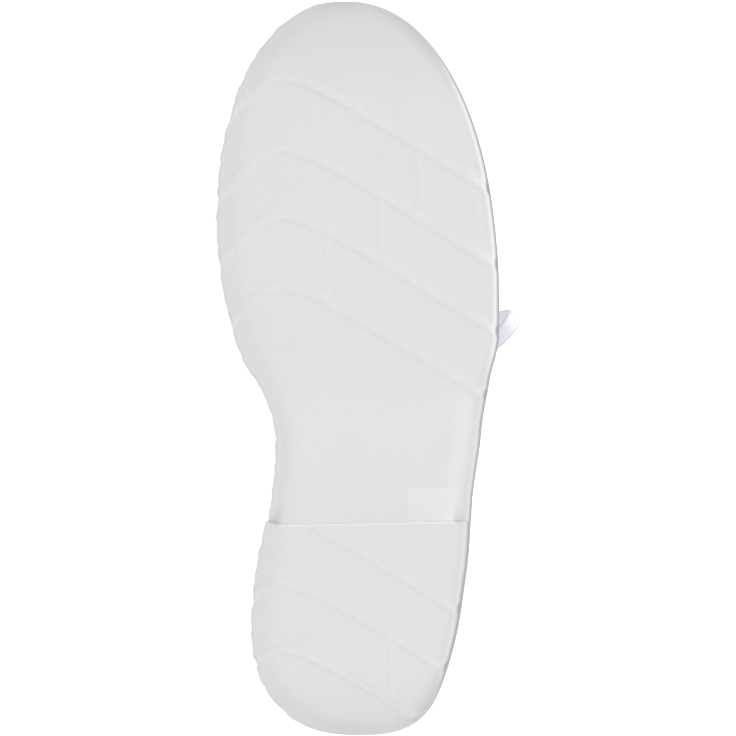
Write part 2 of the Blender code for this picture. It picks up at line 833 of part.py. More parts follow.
def main():
    clear_scene()
    home = collection("safety_shoe")
    cutters = collection("cutters")
    strands = collection("strands")
    solids = [
        build_outsole(home, cutters),
        build_insole(home),
        build_upper(home),
        build_tongue(home),
        build_eyestay(home),
        *build_eyelets(home),
        build_crossings(home, strands),
    ]
    build_knot(home)
    build_cord("lace_loop_outer", home, OUTER_LOOP)
    build_cord("lace_loop_inner", home, INNER_LOOP)
    build_cord("lace_end_outer", home, OUTER_END)
    build_cord("lace_end_inner", home, INNER_END)
    root = bpy.data.objects.new("shoe", None)
    home.objects.link(root)
    lay_down(root, solids)
    for item in [*home.objects, *cutters.objects, *strands.objects]:
        if item != root:
            item.parent = root
    bpy.context.view_layer.update()


if __name__ == "__main__":
    main()
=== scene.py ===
"""Looks of a white lace-up safety shoe for the left foot, lying on its inner side.

Shapes are worked out upright, with x from heel to toe, y to the outer side and z up from the
tread. They are then laid down as the two tread mounts of the frame lie.
"""

import json
import logging
import math
from bisect import bisect_left
from collections.abc import Callable, Sequence
from dataclasses import dataclass
from enum import Enum
from functools import lru_cache
from typing import NamedTuple

import bmesh
import bpy
from mathutils import Matrix, Vector

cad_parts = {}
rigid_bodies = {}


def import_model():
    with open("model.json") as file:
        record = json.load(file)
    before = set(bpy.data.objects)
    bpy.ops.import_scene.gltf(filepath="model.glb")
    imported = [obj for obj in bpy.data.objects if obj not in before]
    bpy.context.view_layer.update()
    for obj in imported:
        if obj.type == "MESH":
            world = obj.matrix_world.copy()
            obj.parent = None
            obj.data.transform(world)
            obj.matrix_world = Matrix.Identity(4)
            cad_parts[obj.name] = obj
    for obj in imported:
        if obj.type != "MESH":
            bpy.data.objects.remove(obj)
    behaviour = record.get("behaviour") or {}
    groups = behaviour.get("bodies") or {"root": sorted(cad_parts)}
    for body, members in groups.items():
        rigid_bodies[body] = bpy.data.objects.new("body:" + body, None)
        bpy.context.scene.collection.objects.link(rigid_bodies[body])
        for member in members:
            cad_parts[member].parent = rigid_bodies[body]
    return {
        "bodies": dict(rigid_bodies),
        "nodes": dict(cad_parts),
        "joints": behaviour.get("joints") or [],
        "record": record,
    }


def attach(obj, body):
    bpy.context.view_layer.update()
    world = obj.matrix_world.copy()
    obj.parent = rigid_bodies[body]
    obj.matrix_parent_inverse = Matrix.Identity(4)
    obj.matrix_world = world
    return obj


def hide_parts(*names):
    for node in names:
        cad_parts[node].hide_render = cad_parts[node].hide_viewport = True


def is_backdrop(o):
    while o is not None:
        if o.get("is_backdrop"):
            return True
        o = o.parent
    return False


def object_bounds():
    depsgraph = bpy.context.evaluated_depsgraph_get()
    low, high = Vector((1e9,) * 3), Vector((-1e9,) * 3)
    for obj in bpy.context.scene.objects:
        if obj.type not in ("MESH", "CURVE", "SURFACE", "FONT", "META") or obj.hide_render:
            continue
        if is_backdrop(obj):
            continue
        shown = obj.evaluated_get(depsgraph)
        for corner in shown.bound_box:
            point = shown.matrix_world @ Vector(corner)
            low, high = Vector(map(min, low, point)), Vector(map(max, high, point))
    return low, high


LOG = logging.getLogger("shoe")
BODY = "root"
WELD = 1e-6
LARGEST_HOLE = 64
HALVINGS = 32


class Side(Enum):
    """Side of the shoe, with its sign along y."""

    OUTER = 1
    INNER = -1


class Zone(Enum):
    """Stretch of a section through the sole or the wall of the upper."""

    TREAD = "tread"
    SIDE = "side"
    CAVITY = "cavity"
    FOOTBED = "footbed"
    FACE = "face"
    RIM = "rim"
    LINING = "lining"


class Waist(NamedTuple):
    """Half width of the sole at a distance from the heel."""

    from_heel: float
    half_width: float


class Middle(NamedTuple):
    """Middle of the sole, and the ridge of the upper above it."""

    from_heel: float
    sole: float
    ridge: float


class Height(NamedTuple):
    """Heights of the footbed and of the sole's lip."""

    from_heel: float
    footbed: float
    lip: float


class Step(NamedTuple):
    """Step of the sole's side wall: a share of the height to the lip plus a lift."""

    inset: float
    lift: float
    share: float


class Section(NamedTuple):
    """Upper edge of the wall over a station: its reach, share left open, height and lean."""

    from_heel: float
    reach: float
    open: float
    height: float
    lean: float
    side: float
    crown: float


class Flap(NamedTuple):
    """Row of the tongue: where its crown and wing lie on the wall, and how far it runs on."""

    share: float
    from_heel: float
    rim: float
    tuck: float
    rise: float
    slim: float


class Run(NamedTuple):
    """Point of the free lace: across as in Last.bridge_point, height above the wall."""

    from_heel: float
    across: float
    height: float


WAIST = (
    Waist(0.065, 0.0409),
    Waist(0.097, 0.0390),
    Waist(0.120, 0.0402),
    Waist(0.139, 0.0454),
    Waist(0.158, 0.0520),
    Waist(0.190, 0.0548),
)
MIDDLE = (
    Middle(0.000, -0.0007, -0.0007),
    Middle(0.025, -0.0036, -0.0020),
    Middle(0.050, -0.0018, -0.0008),
    Middle(0.091, 0.0038, 0.0010),
    Middle(0.120, 0.0068, 0.0000),
    Middle(0.148, 0.0036, -0.0020),
    Middle(0.170, 0.0009, -0.0030),
    Middle(0.195, -0.0013, -0.0035),
    Middle(0.240, -0.0040, -0.0042),
    Middle(0.290, -0.0068, -0.0068),
)
HEIGHT = (
    Height(0.000, 0.0235, 0.0350),
    Height(0.060, 0.0225, 0.0330),
    Height(0.105, 0.0195, 0.0305),
    Height(0.150, 0.0150, 0.0265),
    Height(0.200, 0.0125, 0.0240),
    Height(0.245, 0.0150, 0.0270),
    Height(0.290, 0.0215, 0.0345),
)
SIDE_STEPS = (
    Step(0.0060, 0.0000, 0.000),
    Step(0.0044, 0.0002, 0.000),
    Step(0.0030, 0.0007, 0.000),
    Step(0.0018, 0.0015, 0.000),
    Step(0.0009, 0.0027, 0.000),
    Step(0.0004, 0.0042, 0.000),
    Step(0.0001, 0.0000, 0.280),
    Step(0.0000, 0.0000, 0.400),
    Step(0.0000, 0.0000, 0.500),
    Step(0.0002, 0.0000, 0.517),
    Step(0.0008, 0.0000, 0.532),
    Step(0.0011, 0.0000, 0.550),
    Step(0.0011, 0.0000, 0.608),
    Step(0.0008, 0.0000, 0.626),
    Step(0.0004, 0.0000, 0.640),
    Step(0.0003, 0.0000, 0.660),
    Step(0.0004, 0.0000, 0.780),
    Step(0.0007, 0.0000, 0.880),
    Step(0.0010, 0.0000, 0.940),
    Step(0.0014, 0.0000, 0.976),
    Step(0.0020, 0.0000, 0.995),
    Step(0.0027, 0.0000, 1.000),
)
SECTIONS = (
    Section(0.000, 0.0100, 0.80, 0.0800, 0, 0.42, 0.36),
    Section(0.015, 0.0220, 0.80, 0.0775, 1, 0.42, 0.36),
    Section(0.040, 0.0430, 0.81, 0.0705, 4, 0.42, 0.36),
    Section(0.066, 0.0670, 0.82, 0.0660, 7, 0.42, 0.36),
    Section(0.092, 0.0930, 0.82, 0.0675, 11, 0.42, 0.36),
    Section(0.114, 0.1155, 0.77, 0.0755, 20, 0.43, 0.38),
    Section(0.130, 0.1315, 0.67, 0.0850, 32, 0.45, 0.42),
    Section(0.141, 0.1420, 0.57, 0.0910, 43, 0.47, 0.46),
    Section(0.150, 0.1500, 0.47, 0.0910, 52, 0.49, 0.49),
    Section(0.165, 0.1650, 0.34, 0.0830, 62, 0.53, 0.53),
    Section(0.182, 0.1810, 0.25, 0.0735, 71, 0.56, 0.56),
    Section(0.200, 0.1970, 0.17, 0.0655, 80, 0.59, 0.59),
    Section(0.213, 0.2070, 0.00, 0.0622, 90, 0.61, 0.61),
    Section(0.240, 0.2240, 0.00, 0.0598, 90, 0.65, 0.64),
    Section(0.270, 0.2420, 0.00, 0.0588, 90, 0.70, 0.66),
    Section(0.290, 0.2530, 0.00, 0.0575, 90, 0.72, 0.67),
)
FLAP = (
    Flap(0.00, 0.2180, 0.84, 0.74, 0.0000, 1.00),
    Flap(0.15, 0.2060, 0.88, 0.72, 0.0000, 1.00),
    Flap(0.50, 0.1800, 0.95, 0.72, 0.0000, 1.00),
    Flap(0.70, 0.1620, 0.97, 0.82, 0.0000, 1.00),
    Flap(0.80, 0.1530, 0.97, 0.94, 0.0000, 0.92),
    Flap(0.86, 0.1510, 0.97, 0.94, 0.0050, 0.82),
    Flap(1.00, 0.1500, 0.97, 0.94, 0.0200, 0.80),
)
FLAP_RISE = Vector((-0.84, 0.0, 0.543))
ALONG = Vector((1.0, 0.0, 0.0))
LOOP_SLANT = Vector((0.75, -0.66, 0.0))
HEEL_MOUNT = Vector((0.040, -0.010, 0.0))
OUTER_LOOP = (
    Run(0.1555, 0.13, 0.0096),
    Run(0.1555, 0.42, 0.0080),
    Run(0.1538, 0.66, 0.0078),
    Run(0.1523, 0.88, 0.0074),
    Run(0.1527, 1.09, 0.0084),
    Run(0.1556, 1.25, 0.0112),
    Run(0.1584, 1.31, 0.0150),
    Run(0.1586, 1.20, 0.0184),
    Run(0.1573, 1.02, 0.0176),
    Run(0.1562, 0.82, 0.0156),
    Run(0.1558, 0.62, 0.0144),
    Run(0.1550, 0.40, 0.0138),
    Run(0.1546, 0.12, 0.0132),
)
INNER_LOOP = (
    Run(0.1555, -0.145, 0.0096),
    Run(0.1590, -0.42, 0.0082),
    Run(0.1640, -0.62, 0.0080),
    Run(0.1700, -0.78, 0.0074),
    Run(0.1760, -0.90, 0.0068),
    Run(0.1810, -0.98, 0.0080),
    Run(0.1800, -0.92, 0.0118),
    Run(0.1740, -0.78, 0.0138),
    Run(0.1670, -0.62, 0.0144),
    Run(0.1600, -0.40, 0.0142),
    Run(0.1545, -0.13, 0.0132),
)
OUTER_END = (
    Run(0.1605, 0.06, 0.0100),
    Run(0.1700, 0.26, 0.0088),
    Run(0.1770, 0.46, 0.0082),
    Run(0.1840, 0.72, 0.0076),
    Run(0.1900, 0.98, 0.0068),
    Run(0.1950, 1.20, 0.0060),
)
INNER_END = (
    Run(0.1605, -0.06, 0.0100),
    Run(0.1720, -0.16, 0.0090),
    Run(0.1810, -0.30, 0.0086),
    Run(0.1880, -0.50, 0.0080),
    Run(0.1940, -0.74, 0.0074),
    Run(0.1985, -0.98, 0.0062),
)


def clamp(value: float, low: float = 0.0, high: float = 1.0) -> float:
    """Value held between two limits."""
    return min(max(value, low), high)


def ease(value: float) -> float:
    """Smooth rise from 0 to 1 as the value goes from 0 to 1."""
    value = clamp(value)
    return value * value * (3 - 2 * value)


def hump(distance: float, width: float) -> float:
    """Soft bell of height 1 that fades within about twice its width."""
    return math.exp(-((distance / width) ** 2))


class Ramp(NamedTuple):
    """Smooth rise from 0 at a start to 1 a span further on; a negative span turns it round."""

    start: float
    span: float

    def at(self, value: float) -> float:
        """Share of the rise at a value."""
        return ease((value - self.start) / self.span)


class Bell(NamedTuple):
    """Soft bell of height 1 round a middle."""

    middle: float
    width: float

    def at(self, value: float) -> float:
        """Share of the bell's height at a value."""
        return hump(value - self.middle, self.width)


class Fade(NamedTuple):
    """Share at an edge that dies away over a reach."""

    share: float
    reach: float

    def soft(self, distance: float) -> float:
        """Share at a distance, gone at the reach."""
        return self.share * ease(1 - distance / self.reach)

    def slow(self, distance: float) -> float:
        """Share at a distance, with a long tail."""
        return self.share * math.exp(-distance / self.reach)

    def bell(self, distance: float) -> float:
        """Share at a distance to either side."""
        return self.share * hump(distance, self.reach)


def rounded_end(share: float, squareness: float) -> float:
    """Half width, from 1 to 0, of a rounded end as the share goes from 0 to 1."""
    return (1 - clamp(share) ** squareness) ** (1 / squareness)


def rounded_edge(room: float, edge: float) -> float:
    """Share of the full height at a distance from a rounded edge."""
    return math.sqrt(1 - (1 - clamp(room / edge)) ** 2)


def closer_at_ends(share: float) -> float:
    """Share of a way whose steps are drawn closer at both ends."""
    return (1 - math.cos(math.pi * share)) / 2


def mesh_of(work: bmesh.types.BMesh, name: str) -> bpy.types.Mesh:
    """Mesh of a finished bmesh, which is then freed.

    Args:
        work: The finished bmesh.
        name: Name of the mesh.

    Returns:
        The mesh.
    """
    data = bpy.data.meshes.new(name)
    work.to_mesh(data)
    work.free()
    return data


def show(name: str, data: bpy.types.ID) -> bpy.types.Object:
    """Object with that data in the scene."""
    made = bpy.data.objects.new(name, data)
    bpy.context.scene.collection.objects.link(made)
    return made


def bisect(low: float, high: float, before: Callable[[float], bool]) -> float:
    """Value where a test stops being true.

    Args:
        low: A value for which the test holds.
        high: A value for which it doesn't.
        before: The test.

    Returns:
        The value between them.
    """
    for _ in range(HALVINGS):
        middle = (low + high) / 2
        if before(middle):
            low = middle
        else:
            high = middle
    return low


def bezier(ends: Sequence[Vector], share: float) -> Vector:
    """Point of a cubic curve.

    Args:
        ends: Its start, two handles and end.
        share: Share of the way along it.

    Returns:
        The point.
    """
    rest = 1 - share
    return (
        ends[0] * rest**3
        + ends[1] * (3 * rest**2 * share)
        + ends[2] * (3 * rest * share**2)
        + ends[3] * share**3
    )


class Curve:
    """Smooth curve through one column of a table that doesn't overshoot between its rows."""

    SOFT_STEP = 0.005
    SOFT_WEIGHTS = ((-2, 0.1), (-1, 0.24), (0, 0.32), (1, 0.24), (2, 0.1))

    def __init__(
        self, rows: Sequence[tuple], column: str, flat_ends: bool = False, soft: bool = False
    ) -> None:
        """Works out the slopes at the rows.

        Args:
            rows: Table whose first column is the place.
            column: Name of the column that the curve follows.
            flat_ends: Whether the curve starts and ends level.
            soft: Whether its turns are eased over a few centimetres.
        """
        self.places = [row[0] for row in rows]
        self.values = [getattr(row, column) for row in rows]
        self.soft = soft
        spans = [after - before for before, after in zip(self.places, self.places[1:])]
        rises = [after - before for before, after in zip(self.values, self.values[1:])]
        climbs = [rise / span for rise, span in zip(rises, spans)]
        self.slopes = [0.0 if flat_ends else climbs[0]]
        for before, after in zip(climbs, climbs[1:]):
            level = before * after <= 0
            self.slopes.append(0.0 if level else 2 * before * after / (before + after))
        self.slopes.append(0.0 if flat_ends else climbs[-1])

    def read(self, place: float) -> float:
        """Value straight from the rows.

        Args:
            place: Place along the first column.

        Returns:
            The value there.
        """
        place = clamp(place, self.places[0], self.places[-1])
        i = 0
        while i < len(self.places) - 2 and place > self.places[i + 1]:
            i += 1
        span = self.places[i + 1] - self.places[i]
        t = (place - self.places[i]) / span
        return (
            self.values[i] * (1 + 2 * t) * (1 - t) ** 2
            + self.slopes[i] * span * t * (1 - t) ** 2
            + self.values[i + 1] * t * t * (3 - 2 * t)
            + self.slopes[i + 1] * span * t * t * (t - 1)
        )

    @lru_cache(maxsize=None)
    def __call__(self, place: float) -> float:
        """Value at a place, eased if the curve is soft.

        Args:
            place: Place along the first column.

        Returns:
            The value there.
        """
        if not self.soft:
            return self.read(place)
        return sum(
            weight * self.read(place + step * self.SOFT_STEP)
            for step, weight in self.SOFT_WEIGHTS
        )


@dataclass(eq=False)
class Last:
    """Form that the sole and the upper are made over, upright."""

    length: float = 0.290
    heel_half_width: float = 0.0409
    ball_half_width: float = 0.0548
    heel_round: float = 0.065
    toe_round: float = 0.100
    heel_squareness: float = 2.71
    toe_squareness: float = 2.14
    toe_spring: float = 0.012
    toe_spring_start: float = 0.222
    heel_bevel: float = 0.006
    heel_bevel_length: float = 0.016
    lip: float = 0.0034
    gap: float = 0.0003
    wall: float = 0.0021
    throat: float = 0.213
    tongue_depth: float = 0.0033
    turn_step: float = 0.004
    wall_step: float = 0.01
    bridge_lead: float = 0.03
    bridge_pull: float = 0.36

    def __post_init__(self) -> None:
        """Makes the curves that the tables give."""
        self.waist = Curve(WAIST, "half_width", flat_ends=True)
        self.middle = Curve(MIDDLE, "sole")
        self.ridge = Curve(MIDDLE, "ridge")
        self.footbed = Curve(HEIGHT, "footbed")
        self.lip_height = Curve(HEIGHT, "lip")
        self.reach = Curve(SECTIONS, "reach", soft=True)
        self.open = Curve(SECTIONS, "open")
        self.height = Curve(SECTIONS, "height", soft=True)
        self.lean = Curve(SECTIONS, "lean", soft=True)
        self.side = Curve(SECTIONS, "side", soft=True)
        self.crown = Curve(SECTIONS, "crown", soft=True)
        self.flap = {name: Curve(FLAP, name) for name in Flap._fields[1:]}

    def half_width(self, station: float) -> float:
        """Half the sole's width at a distance from the heel.

        Args:
            station: Distance from the heel.

        Returns:
            The half width.
        """
        if station < self.heel_round:
            share = 1 - station / self.heel_round
            return self.heel_half_width * rounded_end(share, self.heel_squareness)
        toe = (station - self.length + self.toe_round) / self.toe_round
        if toe > 0:
            return self.ball_half_width * rounded_end(toe, self.toe_squareness)
        return self.waist(station)

    def station_of(self, turn: float) -> float:
        """Distance from the heel at an angle round the outline: 0 is the toe, pi the heel."""
        return self.length * (1 + math.cos(turn)) / 2

    def turn_of(self, station: float) -> float:
        """Angle round the outline at a distance from the heel."""
        return math.acos(clamp(2 * station / self.length - 1, -1.0))

    def rim_of_sole(self, turn: float) -> Vector:
        """Point of the sole's plan outline."""
        station = self.station_of(turn)
        width = math.copysign(self.half_width(station), math.sin(turn))
        return Vector((station, self.middle(station) + width))

    @lru_cache(maxsize=None)
    def edge(self, turn: float) -> tuple[Vector, Vector]:
        """Point of the sole's plan outline, and the direction straight in from it."""
        step = self.turn_step
        along = self.rim_of_sole(turn + step) - self.rim_of_sole(turn - step)
        return self.rim_of_sole(turn), Vector((-along.y, along.x)).normalized()

    def outline(self, turn: float, inset: float) -> Vector:
        """Point of the plan outline moved in by an inset."""
        point, inward = self.edge(turn)
        return point + inward * inset

    def tread_height(self, station: float) -> float:
        """Height of the plain tread, with its toe spring and rounded heel.

        Args:
            station: Distance from the heel.

        Returns:
            The height.
        """
        start = self.toe_spring_start
        toe = max(0.0, (station - start) / (self.length - start))
        heel = max(0.0, 1 - station / self.heel_bevel_length)
        return self.toe_spring * toe**2 + self.heel_bevel * heel**2

    @lru_cache(maxsize=None)
    def rib(self, turn: float) -> tuple[Vector, ...]:
        """Curve of the upper's outer face from the footbed to its upper edge.

        Args:
            turn: Angle round the outline.

        Returns:
            Its start, two handles and end.
        """
        station = self.station_of(turn)
        foot = self.outline(turn, self.lip + self.gap)
        low = Vector((foot.x, foot.y, self.footbed(foot.x) + self.gap))
        reach = self.reach(station)
        ridge = self.ridge(reach)
        high = Vector((reach, ridge + self.open(station) * (foot.y - ridge), self.height(station)))
        inward = Vector((high.x - low.x, high.y - low.y, 0.0))
        width = inward.length
        inward.normalize()
        rise = high.z - low.z
        lean = math.radians(self.lean(station))
        heading = inward * math.sin(lean) + Vector((0, 0, math.cos(lean)))
        pull = self.crown(station) * (width * math.sin(lean) + rise * math.cos(lean))
        first = low + Vector((0, 0, self.side(station) * rise))
        return low, first, high - heading * pull, high

    def wall_point(self, turn: float, share: float) -> Vector:
        """Point of the upper's outer face, from the footbed (share 0) to its edge (share 1)."""
        return bezier(self.rib(turn), share)

    def is_closed(self, turn: float) -> bool:
        """Whether both sides of the upper meet on a ridge over that point of the outline."""
        return self.station_of(turn) > self.throat

    def wall_normal(self, turn: float, share: float) -> Vector:
        """Outward direction of the upper's face, the same from both sides along its ridge.

        Args:
            turn: Angle round the outline.
            share: Share of the way up the wall.

        Returns:
            The direction.
        """
        step = self.wall_step
        across = self.wall_point(turn + step, share) - self.wall_point(turn - step, share)
        if share + step > 1 and self.is_closed(turn):
            ahead = self.wall_point(-turn, 2 - share - step)
        else:
            ahead = self.wall_point(turn, min(share + step, 1))
        return across.cross(ahead - self.wall_point(turn, max(share - step, 0))).normalized()

    def on_wall(self, turn: float, share: float, height: float) -> Vector:
        """Point at a height over the upper's outer face."""
        return self.wall_point(turn, share) + self.wall_normal(turn, share) * height

    def wall_at_height(self, turn: float, height: float) -> Vector:
        """Point of the upper's outer face at a height over the floor."""
        share = bisect(0.0, 1.0, lambda place: self.wall_point(turn, place).z < height)
        return self.wall_point(turn, share)

    def bridge_point(
        self, station: float, across: float, height: float, rim: float = 1.0, tuck: float = 0.76
    ) -> Vector:
        """Point over the throat.

        Args:
            station: Distance from the heel along the outline.
            across: 0 in the middle, 0.5 on the rim and 1 at the tuck of the outer side.
            height: Height over the surface.
            rim: Share of the wall where the bridge starts.
            tuck: Share of the wall at across 1.

        Returns:
            The point.
        """
        turn = self.turn_of(station)
        if abs(across) >= 0.5:
            share = rim + (tuck - rim) * (abs(across) - 0.5) * 2
            return self.on_wall(math.copysign(turn, across), share, height)
        ends = [self.on_wall(side * turn, rim, height) for side in (-1, 1)]
        leads = [
            (end - self.on_wall(side * turn, rim - self.bridge_lead, height)).normalized()
            for end, side in zip(ends, (-1, 1))
        ]
        handle = (ends[1] - ends[0]).length * self.bridge_pull
        handles = [end + lead * handle for end, lead in zip(ends, leads)]
        return bezier((ends[0], *handles, ends[1]), across + 0.5)

    def flap_point(self, share: float, across: float, depth: float) -> Vector:
        """Point of the tongue, at a depth under its upper face.

        Args:
            share: Share of the way from its front to its free top.
            across: From -1 on the inner side to 1 on the outer side.
            depth: Depth under the upper face.

        Returns:
            The point.
        """
        read = {name: curve(share) for name, curve in self.flap.items()}
        under = -self.tongue_depth - depth
        point = self.bridge_point(read["from_heel"], across, under, read["rim"], read["tuck"])
        ridge = self.ridge(point.x)
        point.y = ridge + (point.y - ridge) * read["slim"]
        return point + FLAP_RISE * read["rise"]


Colour = tuple[float, float, float]
Sockets = tuple[tuple[str, object], ...]


class Pattern(Enum):
    """Kind of pattern, with its texture node and that node's output."""

    CLOUDS = ("TexNoise", "Fac")
    CELLS = ("TexVoronoi", "Distance")


class Layer(NamedTuple):
    """Pattern with so many spots to a metre, drawn out between two values."""

    scale: float
    detail: float
    low: float = 0.0
    high: float = 1.0
    pattern: Pattern = Pattern.CLOUDS


class Bump(NamedTuple):
    """Bumps of a pattern with so many spots to a metre, and their height in metres."""

    scale: float
    detail: float
    height: float
    pattern: Pattern = Pattern.CLOUDS


class Graph:
    """Node graph of one material in the making."""

    def __init__(self, name: str) -> None:
        """Starts a material with its shader.

        Args:
            name: Name of the material.
        """
        self.material = bpy.data.materials.new(name)
        self.material.use_nodes = True
        self.tree = self.material.node_tree
        self.shader = self.tree.nodes["Principled BSDF"]
        self.coordinates = self.tree.nodes.new("ShaderNodeTexCoord")

    def settle(self, sockets: Sockets) -> None:
        """Sets the shader's own sockets."""
        for name, value in sockets:
            self.shader.inputs[name].default_value = value

    def feed(self, name: str, source: bpy.types.NodeSocket) -> None:
        """Links a source to one of the shader's sockets."""
        self.tree.links.new(source, self.shader.inputs[name])

    def node(self, kind: str, **values: object) -> bpy.types.Node:
        """New node.

        Args:
            kind: Its type, without the common prefix.
            values: Sockets, named with underscores for spaces, to set or, where another
                node's socket is given, to link.

        Returns:
            The node.
        """
        made = self.tree.nodes.new(f"ShaderNode{kind}")
        for name, value in values.items():
            socket = made.inputs[name.replace("_", " ")]
            if isinstance(value, bpy.types.NodeSocket):
                self.tree.links.new(value, socket)
            else:
                socket.default_value = value
        return made

    def texture(self, pattern: Pattern, scale: float, detail: float) -> bpy.types.NodeSocket:
        """Pattern on the piece's own coordinates, with so many spots to a metre."""
        values = {"Vector": self.coordinates.outputs["Object"], "Scale": scale, "Detail": detail}
        return self.node(pattern.value[0], **values).outputs[pattern.value[1]]

    def spread(self, value: bpy.types.NodeSocket, low: float, high: float) -> bpy.types.NodeSocket:
        """Pattern drawn out between two values."""
        return self.node("MapRange", Value=value, To_Min=low, To_Max=high).outputs["Result"]

    def layer(self, layer: Layer) -> bpy.types.NodeSocket:
        """Pattern drawn out between its two values."""
        return self.spread(self.texture(layer.pattern, layer.scale, layer.detail), layer.low, layer.high)

    def bump(self, bump: Bump) -> tuple[bpy.types.NodeSocket, float]:
        """Pattern and height of a layer of bumps."""
        return self.texture(bump.pattern, bump.scale, bump.detail), bump.height

    def attribute(self, name: str) -> bpy.types.NodeSocket:
        """Value that the mesh carries under a name.

        Args:
            name: The name.

        Returns:
            The value.
        """
        made = self.node("Attribute")
        made.attribute_name = name
        return made.outputs["Fac"]

    def blend(self, share: bpy.types.NodeSocket, first: object, second: object) -> bpy.types.NodeSocket:
        """Colour between two others.

        Args:
            share: Share of the second colour.
            first: Colour, or the socket that gives it.
            second: Colour, or the socket that gives it.

        Returns:
            The mixed colour.
        """
        made = self.tree.nodes.new("ShaderNodeMix")
        made.data_type = "RGBA"
        self.tree.links.new(share, made.inputs["Factor"])
        for socket, colour in ((made.inputs[6], first), (made.inputs[7], second)):
            if isinstance(colour, bpy.types.NodeSocket):
                self.tree.links.new(colour, socket)
            else:
                socket.default_value = (*colour, 1.0)
        return made.outputs[2]

    def relief(self, *layers: tuple[bpy.types.NodeSocket, float]) -> None:
        """Gives the shader its bumps.

        Args:
            layers: Patterns, each with its height in metres.
        """
        last = self.shader
        for pattern, height in reversed(layers):
            bump = self.node("Bump", Height=pattern, Strength=1.0, Distance=height)
            self.tree.links.new(bump.outputs["Normal"], last.inputs["Normal"])
            last = bump


@dataclass(frozen=True)
class Finish:
    """Finish of two mixed tones: dullness, bumps, shader values, and colours of the mesh's marks."""

    pale: Colour
    deep: Colour
    mottle: Layer
    dullness: Layer | None
    bumps: tuple[Bump, ...]
    sockets: Sockets
    marks: tuple[tuple[str, Colour], ...] = ()

    def make(self, name: str) -> bpy.types.Material:
        """Material with this finish.

        Args:
            name: Name of the material.

        Returns:
            The material.
        """
        graph = Graph(name)
        graph.settle(self.sockets)
        tone = graph.blend(graph.layer(self.mottle), self.deep, self.pale)
        for mark, colour in self.marks:
            tone = graph.blend(graph.attribute(mark), tone, colour)
        graph.feed("Base Color", tone)
        if self.dullness:
            graph.feed("Roughness", graph.layer(self.dullness))
        graph.relief(*(graph.bump(bump) for bump in self.bumps))
        return graph.material


@dataclass(frozen=True)
class MouldedRubber(Finish):
    """White moulded sole: dulled on its tread, painted light on its grooves' flanks against their shade,
    lighter in its waist and panel, painted shade round its edge and a painted highlight on its outer rim.
    """

    pale: Colour = (0.540, 0.540, 0.535)
    deep: Colour = (0.527, 0.527, 0.520)
    mottle: Layer = Layer(34, 4, -0.5, 1.3)
    dullness: Layer = Layer(90, 3, 0.48, 0.66)
    bumps: tuple[Bump, ...] = (
        Bump(1400, 2, 0.00006),
        Bump(260, 2, 0.00008),
    )
    sockets: Sockets = (("Specular IOR Level", 0.35),)
    marks: tuple[tuple[str, Colour], ...] = (
        # Painted light on the grooves' flanks against their shade, and a lighter waist and panel.
        ("groove", (0.573, 0.573, 0.570)),
        # Painted shade round the tread's edge, at toe and heel, and on the upper band of the outer wall.
        ("painted_edge_shade", (0.36, 0.36, 0.375)),
        # Painted highlight on the foot of the outer wall, and painted light by the heel breast and the
        # waist's edge.
        ("painted_rim_highlight", (0.85, 0.85, 0.89)),
    )


@dataclass(frozen=True)
class Microfibre(Finish):
    """White grained sheet of the upper."""

    pale: Colour = (0.60, 0.60, 0.62)
    deep: Colour = (0.56, 0.56, 0.58)
    mottle: Layer = Layer(26, 4, -0.2, 1.2)
    dullness: Layer = Layer(140, 3, 0.42, 0.58)
    bumps: tuple[Bump, ...] = (
        Bump(900, 0, 0.00010, Pattern.CELLS),
        Bump(2070, 2, 0.00004),
        Bump(55, 3, 0.00025),
    )
    sockets: Sockets = (("Coat Weight", 0.06), ("Coat Roughness", 0.35), ("Specular IOR Level", 0.4))


@dataclass(frozen=True)
class FacingSheet(Microfibre):
    """Coarser sheet of the facing."""

    pale: Colour = (0.59, 0.59, 0.61)
    deep: Colour = (0.55, 0.55, 0.57)
    bumps: tuple[Bump, ...] = (
        Bump(760, 0, 0.00010, Pattern.CELLS),
        Bump(1748, 2, 0.00004),
        Bump(55, 3, 0.00025),
    )


@dataclass(frozen=True)
class KnitLining(Finish):
    """White knitted cloth of the lining and the tongue."""

    pale: Colour = (0.61, 0.61, 0.63)
    deep: Colour = (0.50, 0.50, 0.53)
    # The mottle is painted shade: darker in the sunk gaps between the knit's loops.
    mottle: Layer = Layer(1100, 0, 1.1, 0.1, Pattern.CELLS)
    dullness: Layer = Layer(200, 3, 0.80, 0.95)
    bumps: tuple[Bump, ...] = (
        Bump(1100, 0, -0.00022, Pattern.CELLS),
        Bump(2600, 2, 0.00005),
    )
    sockets: Sockets = (("Sheen Weight", 0.25), ("Sheen Roughness", 0.5), ("Specular IOR Level", 0.2))


@dataclass(frozen=True)
class InsoleKnit(KnitLining):
    """Closer and greyer knit of the insole."""

    pale: Colour = (0.56, 0.57, 0.59)
    deep: Colour = (0.42, 0.43, 0.46)
    # The mottle is painted shade: darker in the sunk gaps between the knit's loops.
    mottle: Layer = Layer(1300, 0, 1.1, 0.1, Pattern.CELLS)
    bumps: tuple[Bump, ...] = (
        Bump(1300, 0, -0.00022, Pattern.CELLS),
        Bump(2600, 2, 0.00005),
    )


@dataclass(frozen=True)
class Lacquer(Finish):
    """Thin hard coat on a small pressed part."""

    pale: Colour = (0.66, 0.66, 0.68)
    deep: Colour = (0.58, 0.58, 0.60)
    mottle: Layer = Layer(180, 4)
    dullness: Layer = Layer(500, 3, 0.26, 0.44)
    bumps: tuple[Bump, ...] = (Bump(700, 2, 0.00003),)
    sockets: Sockets = (("Coat Weight", 0.35), ("Coat Roughness", 0.2))


